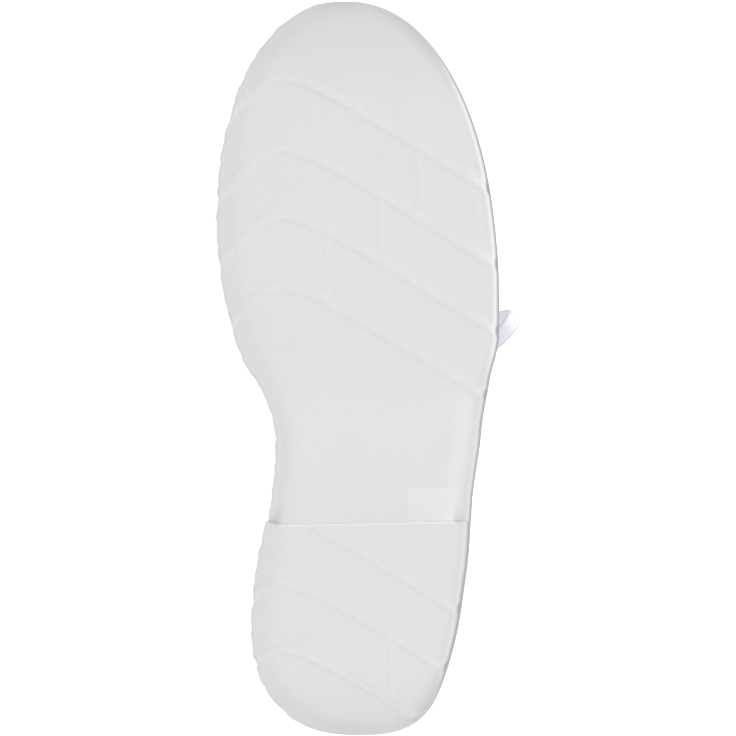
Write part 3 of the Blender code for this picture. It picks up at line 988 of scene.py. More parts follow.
@dataclass(frozen=True)
class Thread(Finish):
    """Twisted white sewing thread."""

    pale: Colour = (0.70, 0.70, 0.73)
    deep: Colour = (0.52, 0.52, 0.56)
    mottle: Layer = Layer(3800, 2)
    dullness: Layer = Layer(3800, 2, 0.6, 0.85)
    bumps: tuple[Bump, ...] = (Bump(3800, 2, 0.00008),)
    sockets: Sockets = (("Sheen Weight", 0.2), ("Specular IOR Level", 0.25))


@dataclass(frozen=True)
class WovenTape:
    """Flat lace: ribs slant both ways from the middle of the tape, between two woven edges.

    The UV map goes once round the tape, and is folded in quarters so that both edges are alike.
    """

    pale: Colour = (0.92, 0.92, 1.0)
    deep: Colour = (0.90, 0.90, 1.0)
    # The selvedge colour is painted shade along the tape's edges, where its surface rounds off.
    selvedge: Colour = (0.72, 0.72, 0.81)
    fold: float = 0.25
    selvedge_start: float = 0.15
    selvedge_full: float = 0.10
    rib: float = 0.0008
    rib_slant: float = 14.0
    rib_scale: float = 0.318
    rib_height: float = 0.00007
    rib_tones: tuple[float, float] = (0.15, 1.0)
    dullness: Layer = Layer(400, 3, 0.72, 0.9)
    fibres: Bump = Bump(3000, 2, 0.00005)
    sockets: Sockets = (("Sheen Weight", 0.4), ("Sheen Roughness", 0.5), ("Specular IOR Level", 0.2))

    def make(self, name: str, length: float) -> bpy.types.Material:
        """Material of one run of lace.

        Args:
            name: Name of the material.
            length: Length of the run, over which its UV map goes from 0 to 1.

        Returns:
            The material.
        """
        graph = Graph(name)
        graph.settle(self.sockets)
        parts = graph.node("SeparateXYZ", Vector=graph.coordinates.outputs["UV"])
        folded = graph.node("Math", Value=parts.outputs["Y"])
        folded.operation = "PINGPONG"
        folded.inputs[1].default_value = self.fold
        slanted = graph.node("CombineXYZ", X=parts.outputs["X"], Y=folded.outputs[0])
        turned = graph.node("Mapping", Vector=slanted.outputs[0])
        turned.inputs["Scale"].default_value = (length / self.rib, self.rib_slant, 1.0)
        waves = graph.node("TexWave", Vector=turned.outputs[0], Scale=self.rib_scale, Distortion=0.0)
        waves.bands_direction = "DIAGONAL"
        ribs = waves.outputs["Fac"]
        woven = graph.blend(graph.spread(ribs, *self.rib_tones), self.deep, self.pale)
        # Painted shade along both edges of the tape.
        start, full = self.selvedge_start, self.selvedge_full
        edge = graph.node("MapRange", Value=folded.outputs[0], From_Min=start, From_Max=full)
        graph.feed("Base Color", graph.blend(edge.outputs["Result"], woven, self.selvedge))
        graph.feed("Roughness", graph.layer(self.dullness))
        graph.relief((ribs, self.rib_height), graph.bump(self.fibres))
        return graph.material


@dataclass(frozen=True)
class PaleFloor(Finish):
    """Plain floor of the studio: a white sheet, lit a little from below."""

    pale: Colour = (0.93, 0.93, 0.93)
    deep: Colour = (0.91, 0.91, 0.91)
    mottle: Layer = Layer(3, 3)
    dullness: None = None
    bumps: tuple[Bump, ...] = ()
    sockets: Sockets = (
        ("Roughness", 0.9),
        ("Specular IOR Level", 0.1),
        ("Emission Color", (1.0, 1.0, 1.0, 1.0)),
        ("Emission Strength", 0.62),
    )


Place = Callable[[float, float], Vector]
Read = Callable[[float, float], float]


class Workpiece:
    """Mesh in the making, upright, that ends as one piece of the shoe."""

    def __init__(self) -> None:
        """Starts an empty mesh with a UV map."""
        self.mesh = bmesh.new()
        self.mesh.loops.layers.uv.new("UVMap")

    def add_sheet(
        self,
        columns: int,
        rows: int,
        place: Place,
        marks: dict[str, Read] | None = None,
        slot: Callable[[float, float], int] | None = None,
        keep: Callable[[float, float], bool] | None = None,
    ) -> None:
        """Adds a grid whose points are set by functions of two shares.

        Args:
            columns: Number of faces along the first share.
            rows: Number of faces along the second share.
            place: Point of the sheet.
            marks: Values that the mesh carries, by name.
            slot: Number of a face's material.
            keep: Whether a face stays.
        """
        marks = marks or {}
        for name in marks:
            self.mesh.verts.layers.float.new(name)
        made = bmesh.ops.create_grid(
            self.mesh, x_segments=columns, y_segments=rows, size=0.5, calc_uvs=True
        )
        dropped = []
        for face in {face for vertex in made["verts"] for face in vertex.link_faces}:
            middle = face.calc_center_median()
            if slot:
                face.material_index = slot(middle.x + 0.5, middle.y + 0.5)
            if keep and not keep(middle.x + 0.5, middle.y + 0.5):
                dropped.append(face)
        for vertex in made["verts"]:
            along, up = vertex.co.x + 0.5, vertex.co.y + 0.5
            for name, read in marks.items():
                vertex[self.mesh.verts.layers.float[name]] = read(along, up)
            vertex.co = place(along, up)
        if dropped:
            bmesh.ops.delete(self.mesh, geom=dropped, context="FACES")

    def add_slab(
        self, columns: int, rows: int, place: Callable[[float, float, float], Vector]
    ) -> None:
        """Adds a closed slab: an upper and a lower sheet that meet round their edge.

        Args:
            columns: Number of faces along the first share.
            rows: Number of faces along the second share.
            place: Point by the two shares and by 1 for the upper and 0 for the lower sheet.
        """
        self.add_sheet(columns, rows, lambda along, up: place(along, up, 1.0))
        self.add_sheet(columns, rows, lambda along, up: place(along, up, 0.0))

    def add_ribbon(self, ribbon: "Ribbon", steps: int, around: int = 12) -> None:
        """Adds a closed length of lace.

        Args:
            ribbon: Its path and section.
            steps: Number of faces along it.
            around: Number of faces round it.
        """
        made = bmesh.ops.create_grid(
            self.mesh, x_segments=steps, y_segments=around, size=0.5, calc_uvs=True
        )
        for vertex in made["verts"]:
            vertex.co = ribbon.point(vertex.co.x + 0.5, vertex.co.y + 0.5)

    def add_bead(self, place: Matrix, rings: int, segments: int) -> None:
        """Adds a ball, drawn out by a matrix."""
        bmesh.ops.create_uvsphere(
            self.mesh, u_segments=segments, v_segments=rings, radius=1.0, matrix=place, calc_uvs=True
        )

    def finish(
        self,
        name: str,
        finishes: Sequence[bpy.types.Material],
        lie: Matrix,
        slot: str,
        sharp: float = 50.0,
    ) -> bpy.types.Object:
        """Welds the mesh, lays it down and makes it a piece of the shoe.

        Args:
            name: Name of the piece.
            finishes: Its materials.
            lie: Matrix that lays the upright shoe down.
            slot: Material slot of the record that it belongs to; not used.
            sharp: Angle in degrees past which an edge is shaded sharp.

        Returns:
            The piece.
        """
        bmesh.ops.remove_doubles(self.mesh, verts=self.mesh.verts, dist=WELD)
        open_edges = [edge for edge in self.mesh.edges if edge.is_boundary]
        if open_edges:
            bmesh.ops.holes_fill(self.mesh, edges=open_edges, sides=LARGEST_HOLE)
        bmesh.ops.recalc_face_normals(self.mesh, faces=self.mesh.faces)
        bmesh.ops.transform(self.mesh, matrix=lie, verts=self.mesh.verts)
        data = mesh_of(self.mesh, name)
        data.shade_smooth()
        data.set_sharp_from_angle(angle=math.radians(sharp))
        for finish in finishes:
            data.materials.append(finish)
        piece = show(name, data)
        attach(piece, BODY)
        LOG.info("%s: %d faces", name, len(data.polygons))
        return piece


def pierce(piece: bpy.types.Object, cutter: bpy.types.Object) -> None:
    """Cuts a shape out of a piece for good.

    Args:
        piece: Piece that gets the holes.
        cutter: Closed shapes that make them.
    """
    holes = piece.modifiers.new("holes", "BOOLEAN")
    holes.object = cutter
    holes.solver = "EXACT"
    shown = piece.evaluated_get(bpy.context.evaluated_depsgraph_get())
    pierced = bpy.data.meshes.new_from_object(shown)
    piece.modifiers.remove(holes)
    piece.data = pierced


class Ribbon:
    """Length of flat lace along a path, with a rounded flat section."""

    AHEAD_STEP = 0.01
    WIDTH_POWER = 0.6
    HEIGHT_POWER = 0.8

    def __init__(
        self,
        path: Callable[[float], Vector],
        across: Callable[[float], Vector],
        size: Callable[[float], tuple[float, float]],
    ) -> None:
        """Keeps what shapes the lace.

        Args:
            path: Point by the share of the way along it.
            across: Direction that its width leans to.
            size: Its width and thickness.
        """
        self.path = path
        self.across = across
        self.size = size

    @lru_cache(maxsize=None)
    def frame(self, share: float) -> tuple[Vector, Vector, Vector]:
        """Middle of the lace, and the directions of its width and thickness.

        Args:
            share: Share of the way along it.

        Returns:
            The point and the two directions.
        """
        step = self.AHEAD_STEP
        ahead = (self.path(min(share + step, 1)) - self.path(max(share - step, 0))).normalized()
        across = self.across(share)
        across = (across - ahead * across.dot(ahead)).normalized()
        return self.path(share), across, ahead.cross(across)

    def point(self, share: float, around: float) -> Vector:
        """Point of the lace's surface, by the shares along and around it.

        Args:
            share: Share of the way along it.
            around: Share of the way round it.

        Returns:
            The point.
        """
        middle, across, up = self.frame(share)
        width, thickness = self.size(share)
        angle = 2 * math.pi * around
        over = math.copysign(abs(math.cos(angle)) ** self.WIDTH_POWER, math.cos(angle))
        high = math.copysign(abs(math.sin(angle)) ** self.HEIGHT_POWER, math.sin(angle))
        return middle + across * (over * width / 2) + up * (high * thickness / 2)

    def length(self, steps: int = 200) -> float:
        """Length along the middle of the lace."""
        points = [self.path(step / steps) for step in range(steps + 1)]
        return sum((after - before).length for before, after in zip(points, points[1:]))


class Link(NamedTuple):
    """Short groove along the shoe from one wave to the next."""

    across: float
    crest: float
    next_crest: float


class Spot(NamedTuple):
    """Place on the sole: angle round the outline, stretch of the section, side, and way along it."""

    turn: float
    zone: Zone
    side: Side
    value: float


@dataclass(frozen=True)
class SolePaint:
    """Where the sole's colour is painted lighter or darker, in shares from 0 to 1: painted light in the
    grooves and by the heel breast against their shade, a painted highlight on the outer rim, painted shade
    round the edge, and a lighter waist and panel.
    """

    # Painted light in the grooves against their shade, and a lighter waist and panel.
    floor_clean: float = 0.75
    flank_clean: float = 2.4
    link_clean: float = 0.15
    waist_clean: float = 0.3
    panel_clean: float = 0.8
    # Painted light on the tread by the heel breast, against its shade, and along the waist's edge.
    breast_corner: Fade = Fade(0.4, 0.0023)
    breast_front: Fade = Fade(0.12, 0.012)
    breast_edge: Fade = Fade(0.36, 0.0002)
    waist_edge: Fade = Fade(0.07, 0.006)
    # Painted highlight up the steps of the outer wall.
    step_clean: float = 0.06
    clean_steps: int = 3
    waist_steps_clean: float = 0.24
    rim_steps: Ramp = Ramp(3, 2)
    rim_end_steps: Ramp = Ramp(6.7, -1.5)
    rim_front: Ramp = Ramp(0.276, -0.03)
    rim_back: Ramp = Ramp(0.012, 0.02)
    rim_forefoot: Ramp = Ramp(0.140, 0.015)
    rim_behind: float = 0.6
    # Painted shade round the edge and the ends, and on the upper band of the outer wall.
    edge_rub: Fade = Fade(0.60, 0.0016)
    edge_dust: Fade = Fade(0.32, 0.012)
    tip_relief: Fade = Fade(0.5, 0.020)
    corner_relief: Fade = Fade(0.7, 0.008)
    toe_dust: Fade = Fade(0.22, 0.045)
    heel_dust: Fade = Fade(0.22, 0.030)
    tip_rub: Fade = Fade(0.06, 0.004)
    outer_room: float = 0.02
    outer_side: Ramp = Ramp(0.0, 0.25)
    wall_steps: Ramp = Ramp(5.5, 1.5)
    lip_steps: Ramp = Ramp(14, 2)
    lip_relief: float = 0.35
    end_scuff: float = 0.35
    rim_scuff: float = 1.6

    def in_groove(self, depth: float) -> float:
        """Painted light at a depth share of a groove, against the shade there: most on its flanks, less on
        its floor.
        """
        return self.floor_clean * depth + self.flank_clean * depth * (1 - depth)


@dataclass(eq=False)
class Outsole:
    """Moulded cup sole with its tread."""

    last: Last
    lie: Matrix
    wear: SolePaint = SolePaint()
    columns: int = 560
    tread_rows: int = 110
    cavity_rows: int = 3
    footbed_rows: int = 5
    groove_half_width: float = 0.0016
    groove_shoulder: float = 0.0020
    groove_depth: float = 0.0012
    crest_from_middle: float = -0.0300
    inner_fall: float = 1.20
    outer_fall: float = 0.62
    crest_rounding: float = 0.012
    crests: tuple[float, ...] = (0.2590, 0.2311, 0.2050, 0.1770, 0.0860, 0.0600, 0.0340)
    links: tuple[Link, ...] = (
        Link(0.024, 0.2590, 0.2311),
        Link(0.009, 0.2311, 0.2050),
        Link(-0.012, 0.2050, 0.1770),
        Link(0.013, 0.0600, 0.0340),
    )
    link_half_width: float = 0.0009
    link_depth: float = 0.0004
    arch_height: float = 0.0075
    arch_sink: float = 0.001
    heel_breast: float = 0.0845
    breast_slope: float = 0.0001
    land_start: Ramp = Ramp(-0.003, 0.002)
    land_end: Ramp = Ramp(0.006, -0.002)
    forefoot_start: float = 0.141
    waist_fade: float = 0.02
    panel_start: float = 0.0858
    panel_end: float = 0.0985
    panel_inner: float = 0.0190
    panel_outer: float = 0.0388
    panel_depth: float = 0.0003
    panel_bevel: float = 0.0006
    exit_notch: float = 0.0005
    edge_height: float = 0.0042
    edge_fade: float = 3.0
    edge_band: Ramp = Ramp(0.006, -0.003)
    low_wall: Ramp = Ramp(0.40, 0.12)
    inner_wall: Ramp = Ramp(0.0, -0.35)
    inner_shy: float = 0.0008
    inner_edge: Ramp = Ramp(0.0, -0.2)
    ripples: tuple[tuple[float, float, float], ...] = ((0.5, 760, 0), (0.3, 1340, 1), (0.2, 480, 2))
    rub: float = 0.0006
    step_in: float = 0.0006
    step_width: float = 0.0016
    step_behind: Ramp = Ramp(0.118, 0.02)
    step_ahead: Ramp = Ramp(0.158, -0.014)
    flare: Fade = Fade(0.0007, 0.018)
    flare_middle: float = 0.098
    swell: float = 0.0004

    def panel(self, point: Vector) -> float:
        """1 on the plain sunk panel in the waist."""
        along = min(point.x - self.panel_start, self.panel_end - point.x)
        across = min(point.y - self.panel_inner, self.panel_outer - point.y)
        return ease(min(along, across) / self.panel_bevel + 0.5)

    def wave(self, crest: float, across: float) -> float:
        """Station of a groove's middle at a distance from the shoe's middle line."""
        away = across - self.crest_from_middle
        soft = math.hypot(away, self.crest_rounding) - self.crest_rounding
        return crest - (self.outer_fall if away > 0 else self.inner_fall) * soft

    def channel(self, distance: float, half: float) -> float:
        """Depth share of a groove at a distance from its middle."""
        return ease((half + self.groove_shoulder / 2 - abs(distance)) / self.groove_shoulder)

    def lean(self, across: float) -> float:
        """Slope of the waves at a distance from the shoe's middle line."""
        away = across - self.crest_from_middle
        fall = self.outer_fall if away > 0 else self.inner_fall
        return fall * away / math.hypot(away, self.crest_rounding)

    def groove(self, point: Vector) -> float:
        """Depth share of the waves at a point of the tread; they stop at the heel breast.

        Args:
            point: Point of the tread.

        Returns:
            The share.
        """
        slope = math.hypot(1, self.lean(point.y))
        ahead = point.x - self.heel_breast
        shown = 1 - self.land_start.at(ahead) * self.land_end.at(ahead)
        return shown * max(
            self.channel((point.x - self.wave(crest, point.y)) / slope, self.groove_half_width)
            for crest in self.crests
        )

    def link(self, point: Vector) -> float:
        """Depth share of the short links at a point of the tread.

        Args:
            point: Point of the tread.

        Returns:
            The share.
        """
        found = 0.0
        for link in self.links:
            low = self.wave(link.next_crest, point.y)
            high = self.wave(link.crest, point.y)
            if low < point.x < high:
                found = max(found, self.channel(point.y - link.across, self.link_half_width))
        return found

    def arch(self, station: float) -> float:
        """Height of the hollow waist over the floor, and below the floor outside the waist.

        Args:
            station: Distance from the heel.

        Returns:
            The height.
        """
        along = (station - self.heel_breast) / (self.forefoot_start - self.heel_breast)
        if not 0 <= along <= 1:
            return -1.0
        rise = (1 + math.cos(math.pi * along)) / 2
        return (self.arch_height + self.arch_sink) * rise - self.arch_sink

    def stops(self) -> list[tuple[Zone, Side, float]]:
        """Stretches of a section, from the inner edge under the tread round to it again.

        Returns:
            Each stop's stretch, side and place along it.
        """
        rows, walls, beds = self.tread_rows, self.cavity_rows, self.footbed_rows
        tread = [(Zone.TREAD, Side.OUTER, row / rows) for row in range(rows + 1)]
        side = [(Zone.SIDE, Side.OUTER, step) for step in range(1, len(SIDE_STEPS))]
        cavity = [(Zone.CAVITY, Side.OUTER, step / walls) for step in range(1, walls + 1)]
        footbed = [(Zone.FOOTBED, Side.OUTER, step / beds) for step in range(1, beds + 1)]
        back = [(zone, Side.INNER, value) for zone, _, value in reversed(side + cavity)]
        return [*tread, *side, *cavity, *footbed, *back[1:], tread[0]]

    def worn(self, turn: float) -> float:
        """How far the inner edge is rubbed away, and how it steps in behind the forefoot lugs.

        Args:
            turn: Angle round the outline.

        Returns:
            The distance, inwards.
        """
        station = self.last.station_of(turn)
        waves = sum(weight * math.sin(pace * station + start) for weight, pace, start in self.ripples)
        behind = ease((self.forefoot_start - station) / self.step_width) * self.step_behind.at(station)
        ahead = ease((station - self.forefoot_start) / self.step_width) * self.step_ahead.at(station)
        stepped = self.step_in * (behind - ahead) - self.flare.bell(station - self.flare_middle)
        return self.inner_edge.at(math.sin(turn)) * (self.rub * waves / 2 + stepped - self.swell)

    def side_depth(self, turn: float, index: int) -> float:
        """Depth share of the waves on the rounded edge, which fade out up the wall."""
        step = SIDE_STEPS[index]
        fade = 1 - ease(step.lift / self.edge_height + step.share * self.edge_fade)
        return fade * self.groove(self.last.outline(turn, step.inset)) if fade else 0.0

    def side_point(self, turn: float, index: int) -> Vector:
        """Point of the side wall.

        Args:
            turn: Angle round the outline.
            index: Number of the step up the wall.

        Returns:
            The point.
        """
        step = SIDE_STEPS[index]
        notch = self.exit_notch * self.groove(self.last.outline(turn, step.inset))
        low_part = 1 - self.low_wall.at(step.share)
        shy = self.inner_shy * self.inner_wall.at(math.sin(turn))
        edge = low_part * self.edge_band.at(step.inset)
        inset = step.inset + (notch + self.worn(turn)) * edge + shy * (1 - low_part)
        point = self.last.outline(turn, inset)
        low = max(self.last.tread_height(point.x), self.arch(self.last.station_of(turn)))
        low += self.side_depth(turn, index) * self.groove_depth
        height = low + step.lift + step.share * (self.last.lip_height(point.x) - low)
        return Vector((point.x, point.y, height))

    def tread_point(self, turn: float, share: float) -> Vector:
        """Point of the tread, by its share of the way from the inner to the outer edge.

        Args:
            turn: Angle round the outline.
            share: Share of the way from the inner to the outer edge.

        Returns:
            The point.
        """
        inset = SIDE_STEPS[0].inset
        point = self.last.outline(-turn, inset).lerp(self.last.outline(turn, inset), share)
        height = self.last.tread_height(point.x)
        sunk = height + max(self.groove(point) * self.groove_depth, self.link(point) * self.link_depth)
        sunk = max(sunk, self.arch(self.last.station_of(turn)))
        return Vector((point.x, point.y, sunk + self.panel(point) * self.panel_depth))

    def cavity_point(self, turn: float, share: float) -> Vector:
        """Point of the cup's inside, by its share of the way from the lip down to the footbed.

        Args:
            turn: Angle round the outline.
            share: Share of the way down to the footbed.

        Returns:
            The point.
        """
        edge = self.last.outline(turn, self.last.lip)
        outer = self.last.outline(turn, SIDE_STEPS[-1].inset)
        top = self.last.lip_height(outer.x)
        height = top + (self.last.footbed(edge.x) - top) * share
        wall = self.last.wall_at_height(turn, height)
        away = (outer - wall.xy).normalized() * self.last.gap
        return Vector((wall.x + away.x, wall.y + away.y, height))

    def point(self, spot: Spot) -> Vector:
        """Point of the sole.

        Args:
            spot: Place on the sole.

        Returns:
            The point.
        """
        turn, zone, side, value = spot
        if zone is Zone.TREAD:
            return self.tread_point(turn, value)
        if zone is Zone.SIDE:
            return self.side_point(side.value * turn, value)
        if zone is Zone.CAVITY:
            return self.cavity_point(side.value * turn, value)
        outer, inner = self.cavity_point(turn, 1.0), self.cavity_point(-turn, 1.0)
        point = outer.lerp(inner, value)
        return Vector((point.x, point.y, self.last.footbed(point.x)))

    def clean_rim(self, turn: float) -> float:
        """1 along the outer side, where the edge gets a painted highlight, and 0 round the toe and the
        heel.
        """
        wear, station = self.wear, self.last.station_of(turn)
        ends = wear.rim_front.at(station) * wear.rim_back.at(station)
        return ends * (wear.rim_behind + (1 - wear.rim_behind) * wear.rim_forefoot.at(station))

    def from_breast(self, turn: float) -> float:
        """Distance in front of the heel breast."""
        return max(0.0, self.last.station_of(turn) - self.heel_breast)

    def in_waist(self, turn: float) -> float:
        """1 in the hollow waist, which touches no floor."""
        station = self.last.station_of(turn)
        behind = ease((station - self.heel_breast) / self.breast_slope)
        return behind * ease((self.forefoot_start - station) / self.waist_fade)

    def cleanness(self, spot: Spot) -> float:
        """How much lighter the tread is painted: painted light in its grooves against their shade, and
        lighter in the waist and the panel.

        Args:
            spot: Place on the sole.

        Returns:
            The share.
        """
        wear = self.wear
        turn, zone, side, value = spot
        if zone is Zone.SIDE:
            return clamp(wear.in_groove(self.side_depth(side.value * turn, value)))
        if zone is not Zone.TREAD:
            return 0.0
        point = self.tread_point(turn, value)
        painted_light = wear.in_groove(self.groove(point))
        waist = self.in_waist(turn)
        tread = (1 - waist) * max(painted_light, wear.link_clean * self.link(point))
        return clamp(tread + wear.waist_clean * waist + wear.panel_clean * self.panel(point))

    def rim_share(self, spot: Spot) -> float:
        """Painted highlight: 1 on the foot of the outer side's wall, which faces the top light, less in the
        waist and its corners; on the tread, painted light by the heel breast against its shade and along
        the waist's edge.

        Args:
            spot: Place on the sole.

        Returns:
            The share.
        """
        turn, zone, side, value = spot
        wear, waist = self.wear, self.in_waist(turn)
        if zone is Zone.TREAD:
            ahead = self.from_breast(turn)
            outer = self.last.outline(turn, SIDE_STEPS[0].inset)
            room = (self.tread_point(turn, value).xy - outer).length
            painted_light = wear.breast_corner.slow(ahead) + wear.breast_front.slow(ahead)
            painted_light += wear.waist_edge.soft(room)
            edge = wear.breast_edge.bell(self.last.station_of(turn) - self.heel_breast)
            return max(waist * painted_light, edge)
        if zone is not Zone.SIDE or side is not Side.OUTER:
            return 0.0
        rounding = max(
            wear.step_clean * min(value, wear.clean_steps),
            wear.waist_steps_clean * waist,
            wear.rim_steps.at(value),
        )
        return self.clean_rim(turn) * rounding * wear.rim_end_steps.at(value)

    def scuffing(self, spot: Spot) -> float:
        """How much shade is painted on the edge: all round but for the highlighted rim, and most at toe and
        heel; on the outer wall also on its upper band.

        Args:
            spot: Place on the sole.

        Returns:
            The share.
        """
        turn, zone, side, value = spot
        if zone not in (Zone.TREAD, Zone.SIDE):
            return 0.0
        wear = self.wear
        point = self.point(spot)
        outer_wall = zone is Zone.SIDE and side is Side.OUTER
        if zone is Zone.TREAD:
            room = (point.xy - self.last.outline(-turn, 0.0)).length
        else:
            room = SIDE_STEPS[value].inset
        if outer_wall:
            room += wear.outer_room * max(self.clean_rim(turn), wear.outer_side.at(math.sin(turn)))
        toe, heel = self.last.length - point.x, point.x
        tip = min(toe, heel)
        rim = wear.edge_rub.soft(room) + wear.edge_dust.soft(room)
        rim *= 1 - wear.tip_relief.soft(tip)
        rim *= 1 - self.in_waist(turn) * wear.corner_relief.slow(self.from_breast(turn))
        ends = max(wear.toe_dust.soft(toe), wear.heel_dust.soft(heel))
        painted_edge_shade = clamp(rim + ends + wear.tip_rub.soft(tip))
        if not outer_wall:
            return painted_edge_shade
        # Painted shade on the upper band of the outer wall, less near the lip.
        high = wear.wall_steps.at(value) * (1 - wear.lip_relief * wear.lip_steps.at(value))
        high *= wear.end_scuff + (1 - wear.end_scuff) * clamp(wear.rim_scuff * self.clean_rim(turn))
        return max(painted_edge_shade, high)

    def build(self) -> bpy.types.Object:
        """Makes the sole.

        Returns:
            The piece.
        """
        stops = self.stops()
        rows = len(stops) - 1
        turns = [math.pi * column / self.columns for column in range(self.columns + 1)]
        behind = bisect_left(turns, self.last.turn_of(self.heel_breast))
        turns[behind - 1] = self.last.turn_of(self.heel_breast + self.breast_slope)
        turns[behind] = self.last.turn_of(self.heel_breast - self.breast_slope)

        def read(along: float, around: float) -> Spot:
            """Place on the sole of a point of the sheet."""
            return Spot(turns[round(along * self.columns)], *stops[round(around * rows)])

        # The marks: painted light in the grooves against their shade with a lighter waist and panel, a
        # painted highlight on the outer rim, and painted shade round the edge.
        marks = {
            "groove": lambda along, around: self.cleanness(read(along, around)),
            "painted_rim_highlight": lambda along, around: self.rim_share(read(along, around)),
            "painted_edge_shade": lambda along, around: self.scuffing(read(along, around)),
        }
        work = Workpiece()
        work.add_sheet(self.columns, rows, lambda along, around: self.point(read(along, around)), marks)
        piece = work.finish("sole", [MouldedRubber().make("sole_rubber")], self.lie, "outsole")
        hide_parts("outsole")
        return piece


@dataclass(eq=False)
class Insole:
    """Loose footbed that lies in the cup."""

    last: Last
    lie: Matrix
    columns: int = 160
    rows: int = 40
    thickness: float = 0.0040
    edge: float = 0.0018
    clearance: float = 0.0006
    cup: float = 0.0012
    cup_width: float = 0.014

    def build(self) -> bpy.types.Object:
        """Makes the insole.

        Returns:
            The piece.
        """
        inset = self.last.lip + 2 * self.last.gap + self.last.wall + self.clearance

        def place(along: float, across: float, upper: float) -> Vector:
            """Point of the insole.

            Args:
                along: Share of the way from the toe to the heel.
                across: Share of the way from the inner to the outer side.
                upper: 1 on the upper and 0 on the lower face.

            Returns:
                The point.
            """
            turn = math.pi * along
            inner, outer = self.last.outline(-turn, inset), self.last.outline(turn, inset)
            point = inner.lerp(outer, closer_at_ends(across))
            room = min((point - inner).length, (point - outer).length)
            cup = self.cup * (1 - ease(room / self.cup_width))
            lift = upper * (self.thickness + cup) * rounded_edge(room, self.edge)
            return Vector((point.x, point.y, self.last.footbed(point.x) + self.last.gap + lift))

        work = Workpiece()
        work.add_slab(self.columns, self.rows, place)
        piece = work.finish("insole_foam", [InsoleKnit().make("insole_knit")], self.lie, "insole")
        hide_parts("insole")
        return piece


